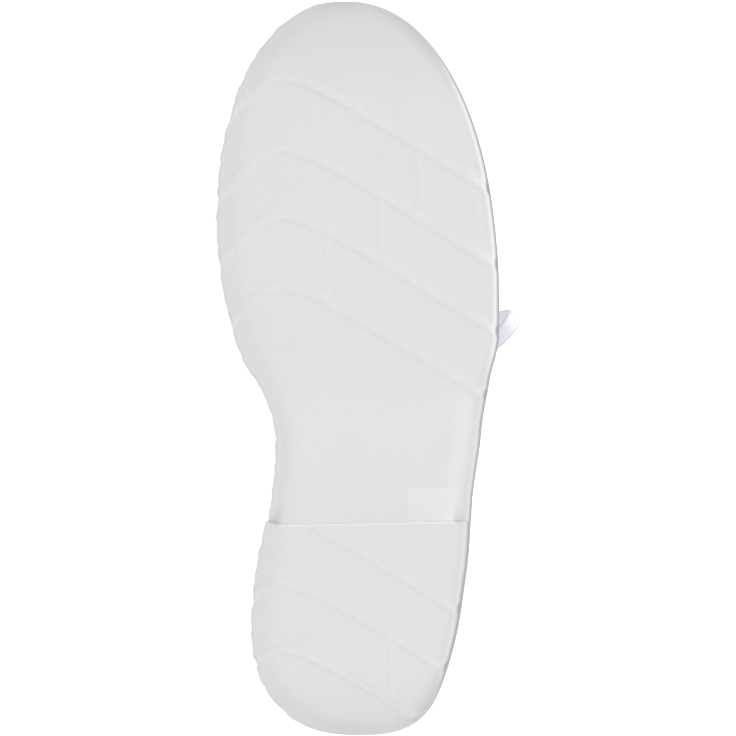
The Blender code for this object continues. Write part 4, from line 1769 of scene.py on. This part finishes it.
@dataclass(eq=False)
class Upper:
    """Wall of the upper: grained face, padded collar and knitted lining."""

    last: Last
    lie: Matrix
    columns: int = 560
    face_rows: int = 60
    rim_rows: int = 8
    lining_rows: int = 16
    rim_slack: float = 1.1
    rim_step: float = 0.02
    collar_pad: float = 0.0070
    pad_front: Ramp = Ramp(0.150, -0.030)
    pad_foot: Ramp = Ramp(0.046, 0.018)
    collar_front: Ramp = Ramp(0.146, -0.020)
    floor_side: Ramp = Ramp(0.0, -0.35)
    bulge: float = 0.0011
    bulge_below_rim: Bell = Bell(0.007, 0.0075)
    channel: float = 0.0007
    channel_below_rim: Bell = Bell(0.0175, 0.0020)
    seam_foot: Ramp = Ramp(0.05, 0.2)
    seam_top: Ramp = Ramp(0.7, 0.1)
    side_seam: float = 0.150
    side_seam_depth: float = 0.0006
    heel_seam_depth: float = 0.0005
    heel_seam_end: float = 0.02
    seam_width: float = 0.0012
    cap_step: float = 0.0007
    cap_line: Ramp = Ramp(0.236, 0.010)
    creases: tuple[tuple[float, float], ...] = ((0.2290, 0.00055), (0.2365, 0.00040), (0.2205, 0.00035))
    crease_bow: float = 7.0
    crease_width: float = 0.0026
    crease_foot: Ramp = Ramp(0.30, 0.25)
    crease_on_ridge: float = 0.35
    crease_off_ridge: Bell = Bell(0.020, 0.014)
    fold_share: float = 0.45
    fold_ahead: float = 0.0042

    def thickness(self, point: Vector) -> float:
        """Thickness of the wall, which is padded round the collar."""
        padding = (self.collar_pad - self.last.wall) * self.pad_front.at(point.x)
        return self.last.wall + padding * self.pad_foot.at(point.z)

    def wrinkles(self, share: float, point: Vector) -> float:
        """Height of the soft creases across the vamp, each with a fold in front of it.

        Args:
            share: Share of the way up the wall.
            point: Point of the plain wall.

        Returns:
            The height, outwards.
        """
        found = 0.0
        away = point.y - self.last.ridge(point.x)
        off_ridge = (1 - self.crease_on_ridge) * self.crease_off_ridge.at(abs(away))
        fade = self.crease_foot.at(share) * (self.crease_on_ridge + off_ridge)
        for from_heel, depth in self.creases:
            ahead = point.x - (from_heel - self.crease_bow * away * away)
            fold = self.fold_share * hump(ahead - self.fold_ahead, self.crease_width)
            found += depth * fade * (fold - hump(ahead, self.crease_width))
        return found

    def relief(self, turn: float, share: float, point: Vector) -> float:
        """Height that creases, seams and padding add to the plain wall.

        Args:
            turn: Angle round the outline.
            share: Share of the way up the wall.
            point: Point of the plain wall.

        Returns:
            The height, outwards.
        """
        station = self.last.station_of(turn)
        below_rim = self.last.rib(turn)[3].z - point.z
        away = point.y - self.last.ridge(point.x)
        back = self.collar_front.at(point.x)
        high = self.seam_foot.at(share)
        clear = 1 - self.floor_side.at(math.sin(turn))
        collar = self.bulge * clear * back * self.bulge_below_rim.at(below_rim)
        channel = -self.channel * back * self.channel_below_rim.at(below_rim)
        seam = -self.side_seam_depth * high * hump(station - self.side_seam, self.seam_width)
        seam *= 1 - self.seam_top.at(share)
        heel = 0.0
        if station < self.heel_seam_end:
            heel = -self.heel_seam_depth * high * hump(away, self.seam_width)
        cap = self.cap_step * self.cap_line.at(point.x)
        return collar + channel + seam + heel + cap + self.wrinkles(share, point)

    def top_share(self, turn: float) -> float:
        """Share of the wall where its face goes over into the rounded rim.

        Args:
            turn: Angle round the outline.

        Returns:
            The share.
        """
        if self.last.is_closed(turn):
            return 1.0
        rib = self.last.rib(turn)
        return 1 - self.thickness(rib[3]) / 2 / ((rib[3] - rib[0]).length * self.rim_slack)

    def face_point(self, turn: float, share: float) -> tuple[Vector, Vector]:
        """Point of the outer face and its outward direction."""
        point = self.last.wall_point(turn, share)
        normal = self.last.wall_normal(turn, share)
        return point + normal * self.relief(turn, share, point), normal

    def stops(self) -> list[tuple[Zone, float]]:
        """Stretches of a section, from the foot of the face round to it again.

        Returns:
            Each stop's stretch and place along it.
        """
        face = [(Zone.FACE, row / self.face_rows) for row in range(self.face_rows + 1)]
        rim = [(Zone.RIM, row / self.rim_rows) for row in range(1, self.rim_rows)]
        lining = [(Zone.LINING, 1 - row / self.lining_rows) for row in range(self.lining_rows + 1)]
        return [*face, *rim, *lining, face[0]]

    def point(self, turn: float, zone: Zone, value: float) -> Vector:
        """Point of the upper.

        Args:
            turn: Angle round the outline.
            zone: Stretch of the section.
            value: Place along the stretch.

        Returns:
            The point.
        """
        top = self.top_share(turn)
        share = top if zone is Zone.RIM else top * value
        face, normal = self.face_point(turn, share)
        if zone is Zone.FACE:
            return face
        thickness = self.thickness(self.last.wall_point(turn, share))
        if zone is Zone.LINING:
            return face - normal * thickness
        if self.last.is_closed(turn):
            return face - normal * thickness * value
        below = self.last.wall_point(turn, share - self.rim_step)
        up = (self.last.wall_point(turn, share) - below).normalized()
        angle = math.pi * value
        turned = normal * (math.cos(angle) - 1) + up * math.sin(angle)
        return face + turned * thickness / 2

    def build(self) -> bpy.types.Object:
        """Makes the upper.

        Returns:
            The piece.
        """
        stops = self.stops()
        last_column = self.columns - 1

        def read(along: float, around: float) -> tuple[float, Zone, float]:
            """Angle and stretch of a point of the sheet."""
            turn = 2 * math.pi * (round(along * self.columns) % self.columns) / self.columns
            if turn > math.pi:
                turn -= 2 * math.pi
            return turn, *stops[round(around * (len(stops) - 1))]

        def keep(along: float, around: float) -> bool:
            """False on the rim where the upper is closed, since no rim shows there."""
            column = int(along * self.columns)
            turns = [read(edge / self.columns, 0)[0] for edge in (column, min(column, last_column) + 1)]
            zones = [stops[int(around * (len(stops) - 1)) + step][0] for step in (0, 1)]
            on_rim = Zone.RIM in zones
            return not (on_rim and all(self.last.is_closed(turn) for turn in turns))

        def slot(along: float, around: float) -> int:
            """Grained face outside, knitted lining inside."""
            row = int(around * (len(stops) - 1))
            return 1 if row > self.face_rows + self.rim_rows / 2 else 0

        work = Workpiece()
        work.add_sheet(
            self.columns,
            len(stops) - 1,
            lambda along, around: self.point(*read(along, around)),
            slot=slot,
            keep=keep,
        )
        finishes = [Microfibre().make("upper_grain"), KnitLining().make("lining_knit")]
        piece = work.finish("upper_wall", finishes, self.lie, "upper")
        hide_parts("upper")
        return piece


@dataclass(eq=False)
class Tongue:
    """Padded tongue under the facing."""

    last: Last
    lie: Matrix
    columns: int = 70
    rows: int = 60
    thickness: float = 0.0038
    edge: float = 0.16
    end_room: float = 4.0
    side_quilt: float = 0.0006
    side_seam: Bell = Bell(0.62, 0.05)
    top_quilt: float = 0.0008
    top_seam: Bell = Bell(0.90, 0.012)

    def build(self) -> bpy.types.Object:
        """Makes the tongue.

        Returns:
            The piece.
        """

        def place(along: float, over: float, upper: float) -> Vector:
            """Point of the tongue.

            Args:
                along: Share of the way to its free top.
                over: Share of the way from the inner to the outer side.
                upper: 1 on the upper and 0 on the lower face.

            Returns:
                The point.
            """
            share = closer_at_ends(along)
            across = -math.cos(math.pi * over)
            room = min(1 - abs(across), self.end_room * share, self.end_room * (1 - share))
            rim = rounded_edge(room, self.edge)
            quilt = self.side_quilt * self.side_seam.at(abs(across))
            quilt += self.top_quilt * self.top_seam.at(share)
            half = self.thickness / 2
            sunk = half - upper * (half * rim - quilt * rim) if upper else half + half * rim
            return self.last.flap_point(share, across, sunk)

        work = Workpiece()
        work.add_slab(self.columns, self.rows, place)
        piece = work.finish("tongue_pad", [KnitLining().make("tongue_knit")], self.lie, "tongue")
        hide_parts("tongue")
        return piece


@dataclass(eq=False)
class Eyestay:
    """U-shaped facing sewn on round the throat."""

    last: Last
    lie: Matrix
    columns: int = 110
    rows: int = 28
    crowding: float = 1.4
    nose: float = 0.2235
    nose_round: float = 0.0455
    squareness: float = 2.3
    top: float = 0.1470
    top_room: float = 1.2
    half_width: float = 0.0370
    taper: float = 0.195
    lowest: float = 0.4
    thickness: float = 0.0012
    edge: float = 0.0009

    def __post_init__(self) -> None:
        """Finds the station over which the facing has its nose."""
        self.front = bisect(
            self.last.throat, self.last.length, lambda station: self.last.reach(station) < self.nose
        )

    def is_outside(self, point: Vector, margin: float) -> bool:
        """Whether a point of the wall lies outside the facing's plan, drawn in by a margin."""
        full = self.half_width - margin - self.taper * (point.x - self.top)
        share = 1 - (self.nose - margin - point.x) / self.nose_round
        return abs(point.y - self.last.ridge(point.x)) > full * rounded_end(share, self.squareness)

    @lru_cache(maxsize=None)
    def band(self, turn: float, margin: float = 0.0) -> float:
        """Share of the wall where the facing's band begins."""
        return bisect(
            self.lowest, 1.0, lambda share: self.is_outside(self.last.wall_point(turn, share), margin)
        )

    def station(self, back: float) -> float:
        """Station by the share of the way from the nose to the collar."""
        return self.front - (self.front - self.top) * back**self.crowding

    def build(self) -> bpy.types.Object:
        """Makes the facing.

        Returns:
            The piece.
        """
        work = Workpiece()
        low = 2 * self.last.gap
        for side in Side:

            def place(back: float, over: float, upper: float, side: Side = side) -> Vector:
                """Point of the facing on one side.

                Args:
                    back: Share of the way from the nose to the collar.
                    over: Share of the way up the band.
                    upper: 1 on the upper and 0 on the lower face.
                    side: The side.

                Returns:
                    The point.
                """
                turn = side.value * self.last.turn_of(self.station(back))
                edge = self.band(turn)
                share = edge + (1 - edge) * closer_at_ends(over)
                point = self.last.wall_point(turn, share)
                room = (point - self.last.wall_point(turn, edge)).length
                if not self.last.is_closed(turn):
                    room = min(room, (point - self.last.wall_point(turn, 1.0)).length)
                room = min(room, (self.station(back) - self.top) * self.top_room)
                lift = low + upper * self.thickness * rounded_edge(room, self.edge)
                return point + self.last.wall_normal(turn, share) * lift

            work.add_slab(self.columns, self.rows, place)
        piece = work.finish("facing", [FacingSheet().make("facing_grain")], self.lie, "eyestay")
        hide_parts("eyestay")
        return piece


@dataclass(eq=False)
class Eyelets:
    """Rings pressed into the facing."""

    last: Last
    lie: Matrix
    stations: tuple[float, ...] = (0.1960, 0.1825, 0.1690, 0.1555)
    across: float = 0.75
    radius: float = 0.0031
    rim: float = 0.0011
    seat: float = 0.0021
    barrel: float = 0.0026
    sheet: float = 0.0003
    crown: float = 0.0008
    shoulder: float = 0.0006
    throat: float = 0.0002
    edge: float = 0.0001
    segments: int = 28
    hole_play: float = 0.0002
    hole_depth: float = 0.010
    hole_segments: int = 24

    def frames(self) -> list[Matrix]:
        """Matrices that set the eyelets on the facing, with z out of the wall.

        Returns:
            The matrices, from the front, with the outer side first.
        """
        found = []
        for side in Side:
            across = side.value * self.across
            for station in self.stations:
                middle = self.last.bridge_point(station, across, self.seat)
                face = middle - self.last.bridge_point(station, across, 0.0)
                turn = face.normalized().to_track_quat("Z", "X").to_matrix().to_4x4()
                found.append(Matrix.Translation(middle) @ turn)
        return found

    def punch(self, *pieces: bpy.types.Object) -> None:
        """Cuts the holes that the rings line.

        Args:
            pieces: Facing and upper.
        """
        mesh = bmesh.new()
        radius = self.radius - self.rim + self.hole_play
        for frame in self.frames():
            bmesh.ops.create_cone(
                mesh,
                cap_ends=True,
                segments=self.hole_segments,
                radius1=radius,
                radius2=radius,
                depth=self.hole_depth,
                matrix=self.lie @ frame,
            )
        cutter = show("punch", mesh_of(mesh, "punch"))
        for piece in pieces:
            pierce(piece, cutter)
        bpy.data.objects.remove(cutter)

    def profile(self) -> list[tuple[float, float]]:
        """Section of a ring, outwards and upwards: up the barrel, over the crown and back.

        Returns:
            The points.
        """
        inner, outer = self.radius - self.rim, self.radius + self.rim
        back = inner + self.sheet
        return [
            (inner, -self.barrel),
            (inner, self.throat),
            (inner + self.sheet, self.shoulder),
            (self.radius, self.crown),
            (outer - self.sheet, self.shoulder),
            (outer, self.edge),
            (outer, -self.edge),
            (back, -self.sheet),
            (back, -self.barrel),
        ]

    def build(self) -> bpy.types.Object:
        """Makes the rings.

        Returns:
            The piece.
        """
        work = Workpiece()
        for frame in self.frames():
            ring = [work.mesh.verts.new(frame @ Vector((out, 0, up))) for out, up in self.profile()]
            edges = [work.mesh.edges.new((a, b)) for a, b in zip(ring, ring[1:] + ring[:1])]
            bmesh.ops.spin(
                work.mesh,
                geom=[*ring, *edges],
                cent=frame.translation,
                axis=frame.to_3x3() @ Vector((0, 0, 1)),
                angle=2 * math.pi,
                steps=self.segments,
                use_merge=True,
            )
        piece = work.finish("eyelets", [Lacquer().make("eyelet_lacquer")], self.lie, "eyelet_outer_1")
        numbers = range(1, len(self.stations) + 1)
        nodes = [f"eyelet_{side.name.lower()}_{number}" for side in Side for number in numbers]
        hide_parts(*nodes)
        return piece


@dataclass(eq=False)
class Lace:
    """Flat lace: crossings through the eyelets, knot, two loops and two ends."""

    last: Last
    lie: Matrix
    eyelets: Eyelets
    around: int = 14
    width: float = 0.0065
    thickness: float = 0.0014
    level: float = 0.0042
    sunk: float = 0.0012
    strand_steps: int = 70
    strand_span: float = 0.045
    strand_weave: float = 0.055
    ahead_step: float = 0.02
    surface_probe: tuple[float, float] = (0.004, 0.006)
    eyelet_run: float = 0.0032
    gather: Ramp = Ramp(0.001, 0.009)
    gathered_width: float = 0.0030
    gathered_thickness: float = 0.0022
    top_bar_lift: float = 0.0004
    under_lift: float = 0.0002
    over_lift: float = 0.0018
    knot_size: tuple[float, float, float] = (0.0062, 0.0070, 0.0040)
    knot_height: float = 0.0099
    knot_probe: float = 0.02
    core_length: float = 0.72
    core_rings: int = 14
    core_segments: int = 24
    turn_steps: int = 56
    knot_fill: float = 0.86
    turn_slant: float = 0.0008
    turn_section: tuple[float, float] = (0.0062, 0.0015)
    turn_weave: float = 0.036
    run_steps: int = 90
    run_row: float = 0.008
    neck_run: float = 0.012
    neck_width: float = 0.0042
    slant_start: Ramp = Ramp(0.0, 0.35)
    slant_end: Ramp = Ramp(0.66, -0.16)

    def strand(self, start: tuple[float, float], end: tuple[float, float], lift: float) -> Ribbon:
        """Strand that comes up through one eyelet and goes down through another.

        Args:
            start: Station and across of the first eyelet.
            end: Station and across of the second.
            lift: How far its middle rises over another strand.

        Returns:
            The strand.
        """

        def place(share: float) -> tuple[float, float]:
            """Station and across of a point of the strand."""
            return tuple(a + (b - a) * share for a, b in zip(start, end))

        def from_eyelet(share: float) -> float:
            """Distance from the nearer eyelet."""
            return min(share, 1 - share) * self.strand_span

        def path(share: float) -> Vector:
            """Point of the strand."""
            free = ease(from_eyelet(share) / self.eyelet_run)
            height = -self.sunk + (self.level + self.sunk) * free
            height += lift * math.sin(math.pi * share) ** 2
            return self.last.bridge_point(*place(share), height)

        def across(share: float) -> Vector:
            """Direction of its width: square to its way, along the surface."""
            step = self.ahead_step
            ahead = path(min(share + step, 1)) - path(max(share - step, 0))
            low, high = (self.last.bridge_point(*place(share), height) for height in self.surface_probe)
            return (high - low).cross(ahead).normalized()

        def size(share: float) -> tuple[float, float]:
            """Width and thickness: gathered in the eyelets."""
            out = self.gather.at(from_eyelet(share))
            width = self.gathered_width + (self.width - self.gathered_width) * out
            return width, self.gathered_thickness - (self.gathered_thickness - self.thickness) * out

        return Ribbon(path, across, size)

    def build_crossings(self) -> bpy.types.Object:
        """Makes the strands between the eyelets.

        Returns:
            The piece.
        """
        rows, over = self.eyelets.stations, self.eyelets.across
        work = Workpiece()
        strands = [
            self.strand((rows[0], -over), (rows[0], over), 0.0),
            self.strand((rows[-1], -over), (rows[-1], over), self.top_bar_lift),
        ]
        for low, high in zip(rows, rows[1:]):
            strands.append(self.strand((low, -over), (high, over), self.under_lift))
            strands.append(self.strand((low, over), (high, -over), self.over_lift))
        for strand in strands:
            work.add_ribbon(strand, self.strand_steps, self.around)
        finish = WovenTape().make("crossing_weave", self.strand_weave)
        piece = work.finish("lace_strands", [finish], self.lie, "lace_crossings")
        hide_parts("lace_crossings")
        return piece

    def knot_frame(self) -> Matrix:
        """Matrix that sets the knot over the top bar, with z out of the shoe.

        Returns:
            The matrix.
        """
        station = self.eyelets.stations[-1]
        middle = self.last.bridge_point(station, 0.0, self.knot_height)
        face = self.last.bridge_point(station, 0.0, self.knot_probe) - middle
        turn = face.normalized().to_track_quat("Z", "Y").to_matrix().to_4x4()
        return Matrix.Translation(middle) @ turn

    def build_knot(self) -> bpy.types.Object:
        """Makes the knot: a gathered core with a turn of lace round it.

        Returns:
            The piece.
        """
        frame = self.knot_frame()
        wide, long, high = self.knot_size
        core = frame @ Matrix.Diagonal((wide, long * self.core_length, high * self.knot_fill, 1))

        def path(share: float) -> Vector:
            """Point of the turn of lace."""
            over, up = math.cos(2 * math.pi * share), math.sin(2 * math.pi * share)
            size = self.knot_fill
            return frame @ Vector((self.turn_slant * up, long * size * over, high * size * up))

        turn = Ribbon(
            path, lambda share: frame.to_3x3() @ ALONG, lambda share: self.turn_section
        )
        work = Workpiece()
        work.add_bead(core, self.core_rings, self.core_segments)
        work.add_ribbon(turn, self.turn_steps)
        finish = WovenTape().make("knot_weave", self.turn_weave)
        piece = work.finish("knot", [finish], self.lie, "lace_knot")
        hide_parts("lace_knot")
        return piece

    def free_run(self, rows: Sequence[Run], tip: Vector) -> Ribbon:
        """Loop or end of the bow.

        Args:
            rows: Points that it passes through.
            tip: Direction of its width at its far tip; at the knot it is along the shoe.

        Returns:
            The run.
        """
        knots = [self.last.bridge_point(*row) for row in rows]
        knots = [knots[0] * 2 - knots[1], *knots, knots[-1] * 2 - knots[-2]]
        count = len(rows) - 1

        def path(share: float) -> Vector:
            """Point of the run."""
            place = clamp(share) * count
            i = min(int(place), count - 1)
            t = place - i
            a, b, c, d = knots[i : i + 4]
            bend = a * (-t + 2 * t * t - t**3) + b * (2 - 5 * t * t + 3 * t**3)
            return (bend + c * (t + 4 * t * t - 3 * t**3) + d * (t**3 - t * t)) / 2

        def across(share: float) -> Vector:
            """Direction of its width."""
            return ALONG.lerp(tip, self.slant_start.at(share) * self.slant_end.at(share))

        def size(share: float) -> tuple[float, float]:
            """Width and thickness, drawn in at the knot."""
            out = ease(min(share, 1 - share) * count * self.run_row / self.neck_run)
            return self.neck_width + (self.width - self.neck_width) * out, self.thickness

        return Ribbon(path, across, size)

    def build_free(self, name: str, run: Ribbon) -> None:
        """Args:
            name: Its CAD node.
            run: Its path and section.
        """
        steps = self.run_steps
        length = run.length()
        work = Workpiece()
        work.add_ribbon(run, steps, self.around)
        finish = WovenTape().make(f"{name}_weave", length)
        piece = work.finish(f"{name}_tape", [finish], self.lie, name)
        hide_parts(name)
        path = [self.lie @ run.path(step / steps) for step in range(steps + 1)]
        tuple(path[0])

    def build(self) -> None:
        """Makes the whole lace."""
        self.build_crossings()
        knot = self.build_knot()
        self.build_free("lace_loop_outer", self.free_run(OUTER_LOOP, LOOP_SLANT))
        self.build_free("lace_loop_inner", self.free_run(INNER_LOOP, ALONG))
        self.build_free("lace_end_outer", self.free_run(OUTER_END, ALONG))
        self.build_free("lace_end_inner", self.free_run(INNER_END, ALONG))


@dataclass(eq=False)
class Stitching:
    """Rows of thread on the facing, the side seams and the collar."""

    last: Last
    lie: Matrix
    eyestay: Eyestay
    upper: Upper
    pitch: float = 0.0030
    length: float = 0.0023
    radius: float = 0.00034
    flatness: float = 0.8
    rings: int = 4
    segments: int = 6
    path_steps: int = 240
    facing_rows: tuple[float, ...] = (0.0016, 0.0036)
    facing_start: float = 0.03
    facing_share: float = 0.95
    seam_rows: tuple[float, ...] = (-0.0024, -0.0048)
    seam_start: float = 0.18
    seam_share: float = 0.55
    collar_front: float = 0.138

    def sew(self, work: Workpiece, path: Callable[[float], Vector], out: Callable[[float], Vector]) -> None:
        """Sews stitches along a path.

        Args:
            work: Mesh that takes them.
            path: Point by the share of the way.
            out: Direction out of the sheet there.
        """
        steps = self.path_steps
        points = [path(step / steps) for step in range(steps + 1)]
        size = Matrix.Diagonal((self.length / 2, self.radius, self.radius * self.flatness, 1))
        walked = 0.0
        due = self.pitch / 2
        for step in range(steps):
            span = points[step + 1] - points[step]
            while walked + span.length >= due:
                share = (due - walked) / span.length
                middle = points[step] + span * share
                ahead = span.normalized()
                up = out((step + share) / steps)
                up = (up - ahead * up.dot(ahead)).normalized()
                axes = Matrix((ahead, up.cross(ahead), up)).transposed().to_4x4()
                work.add_bead(Matrix.Translation(middle) @ axes @ size, self.rings, self.segments)
                due += self.pitch
            walked += span.length

    def build(self) -> bpy.types.Object:
        """Sews all rows.

        Returns:
            The piece.
        """
        work = Workpiece()
        lift = 2 * self.last.gap + self.eyestay.thickness
        for side in Side:
            for margin in self.facing_rows:

                def edge(share: float, side: Side = side, margin: float = margin) -> tuple[float, float]:
                    """Place on the wall of the facing's row."""
                    station = self.eyestay.station(self.facing_start + self.facing_share * share)
                    turn = side.value * self.last.turn_of(station)
                    return turn, self.eyestay.band(turn, margin)

                self.sew(
                    work,
                    lambda share, edge=edge: self.last.on_wall(*edge(share), lift),
                    lambda share, edge=edge: self.last.wall_normal(*edge(share)),
                )
            for shift in self.seam_rows:
                turn = side.value * self.last.turn_of(self.upper.side_seam + shift)

                def seam(share: float, turn: float = turn) -> tuple[float, float]:
                    """Place on the wall of the row beside the side seam."""
                    return turn, self.seam_start + self.seam_share * share

                self.sew(
                    work,
                    lambda share, seam=seam: self.upper.face_point(*seam(share))[0],
                    lambda share, seam=seam: self.last.wall_normal(*seam(share)),
                )

        def collar(share: float) -> tuple[float, float]:
            """Place on the wall of the row under the padded collar."""
            half = math.pi - self.last.turn_of(self.collar_front)
            turn = math.pi + half * (2 * share - 1)
            height = self.last.rib(turn)[3].z - self.upper.channel_below_rim.middle
            place = bisect(0.0, 1.0, lambda up: self.last.wall_point(turn, up).z < height)
            return turn, place

        self.sew(
            work,
            lambda share: self.upper.face_point(*collar(share))[0],
            lambda share: self.last.wall_normal(*collar(share)),
        )
        return work.finish("stitching", [Thread().make("thread")], self.lie, "upper")


class Softbox(NamedTuple):
    """Square soft light: its place, the length of its sides and its power in watts."""

    name: str
    place: tuple[float, float, float]
    size: float
    power: float


@dataclass(eq=False)
class Studio:
    """Floor, light and camera."""

    lie: Matrix
    scale: float = 0.3932e-3
    frame_pixels: int = 736
    heel_pixel: float = 736.8
    middle_pixel: float = 357.5
    tilt: float = 6.5
    distance: float = 4.0
    sensor: float = 36.0
    floor_half: float = 6.0
    sky: float = 0.80
    light_target: tuple[float, float, float] = (0.0, 0.0, 0.05)
    softboxes: tuple[Softbox, ...] = (
        Softbox("top_light", (0.1, -0.6, 1.9), 1.8, 9.0),
        Softbox("front_light", (0.0, -1.9, 1.6), 1.6, 14.0),
    )

    def build_floor(self) -> None:
        """Lays the floor."""
        mesh = bmesh.new()
        bmesh.ops.create_grid(mesh, x_segments=4, y_segments=4, size=self.floor_half)
        data = mesh_of(mesh, "floor")
        data.materials.append(PaleFloor().make("floor_paint"))
        floor = show("floor", data)
        floor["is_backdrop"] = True

    def place_camera(self) -> None:
        """Sets the camera square to the tread, turned a little to the outer side."""
        middle = self.frame_pixels / 2
        target = self.lie @ Vector(
            ((self.heel_pixel - middle) * self.scale, (middle - self.middle_pixel) * self.scale, 0.0)
        )
        axes = self.lie.to_3x3()
        toe, outer, up = (axes @ Vector(axis) for axis in ((1, 0, 0), (0, 1, 0), (0, 0, 1)))
        tilt = math.radians(self.tilt)
        back = (outer * math.sin(tilt) - up * math.cos(tilt)).normalized()
        right = toe.cross(back).normalized()
        turn = Matrix((right, back.cross(right), back)).transposed().to_4x4()
        data = bpy.data.cameras.new("camera")
        data.sensor_width = self.sensor
        data.lens = self.sensor * self.distance / (self.frame_pixels * self.scale)
        camera = show("camera", data)
        camera.matrix_world = Matrix.Translation(target + back * self.distance) @ turn
        bpy.context.scene.camera = camera

    def hang(self, softbox: Softbox) -> None:
        """Hangs a soft light that points at the shoe.

        Args:
            softbox: The light.
        """
        data = bpy.data.lights.new(softbox.name, "AREA")
        data.size = softbox.size
        data.energy = softbox.power
        light = show(softbox.name, data)
        light.location = softbox.place
        light.rotation_mode = "QUATERNION"
        heading = Vector(self.light_target) - Vector(softbox.place)
        light.rotation_quaternion = heading.to_track_quat("-Z", "Y")

    def build(self) -> None:
        """Makes the studio."""
        self.build_floor()
        self.place_camera()
        world = bpy.data.worlds.new("studio")
        world.use_nodes = True
        background = world.node_tree.nodes["Background"]
        background.inputs["Color"].default_value = (1.0, 1.0, 1.0, 1.0)
        background.inputs["Strength"].default_value = self.sky
        bpy.context.scene.world = world
        for softbox in self.softboxes:
            self.hang(softbox)
        bpy.context.scene.view_settings.view_transform = "Standard"


def lying_pose(record: dict) -> Matrix:
    """Matrix that lays the upright shoe down as the frame has it.

    Args:
        record: Packed record, whose mounts are on the flat lugs of heel and forefoot.

    Returns:
        The matrix.
    """
    mounts = {mount["name"]: mount for mount in record["mounts"]}
    heel = Vector(mounts["heel_tread"]["pos_m"])
    toe = (Vector(mounts["forefoot_tread"]["pos_m"]) - heel).normalized()
    up = -Vector(mounts["heel_tread"]["axis"]).normalized()
    turn = Matrix((toe, up.cross(toe), up)).transposed()
    return Matrix.Translation(heel - turn @ HEEL_MOUNT) @ turn.to_4x4()


def main() -> None:
    """Builds the shoe piece by piece."""
    logging.basicConfig(level=logging.INFO, format="%(message)s")
    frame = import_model()
    cad_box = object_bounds()
    lie = lying_pose(frame["record"])
    last = Last()
    Studio(lie).build()
    eyelets = Eyelets(last, lie)
    Lace(last, lie, eyelets).build()
    eyelets.build()
    Outsole(last, lie).build()
    Insole(last, lie).build()
    upper = Upper(last, lie)
    eyestay = Eyestay(last, lie)
    eyelets.punch(upper.build(), eyestay.build())
    Tongue(last, lie).build()
    Stitching(last, lie, eyestay, upper).build()
    shown_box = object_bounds()
    boxes = {"cad": cad_box, "shown": shown_box}
    {name: [list(corner) for corner in box] for name, box in boxes.items()}


if __name__ == "__main__":
    main()
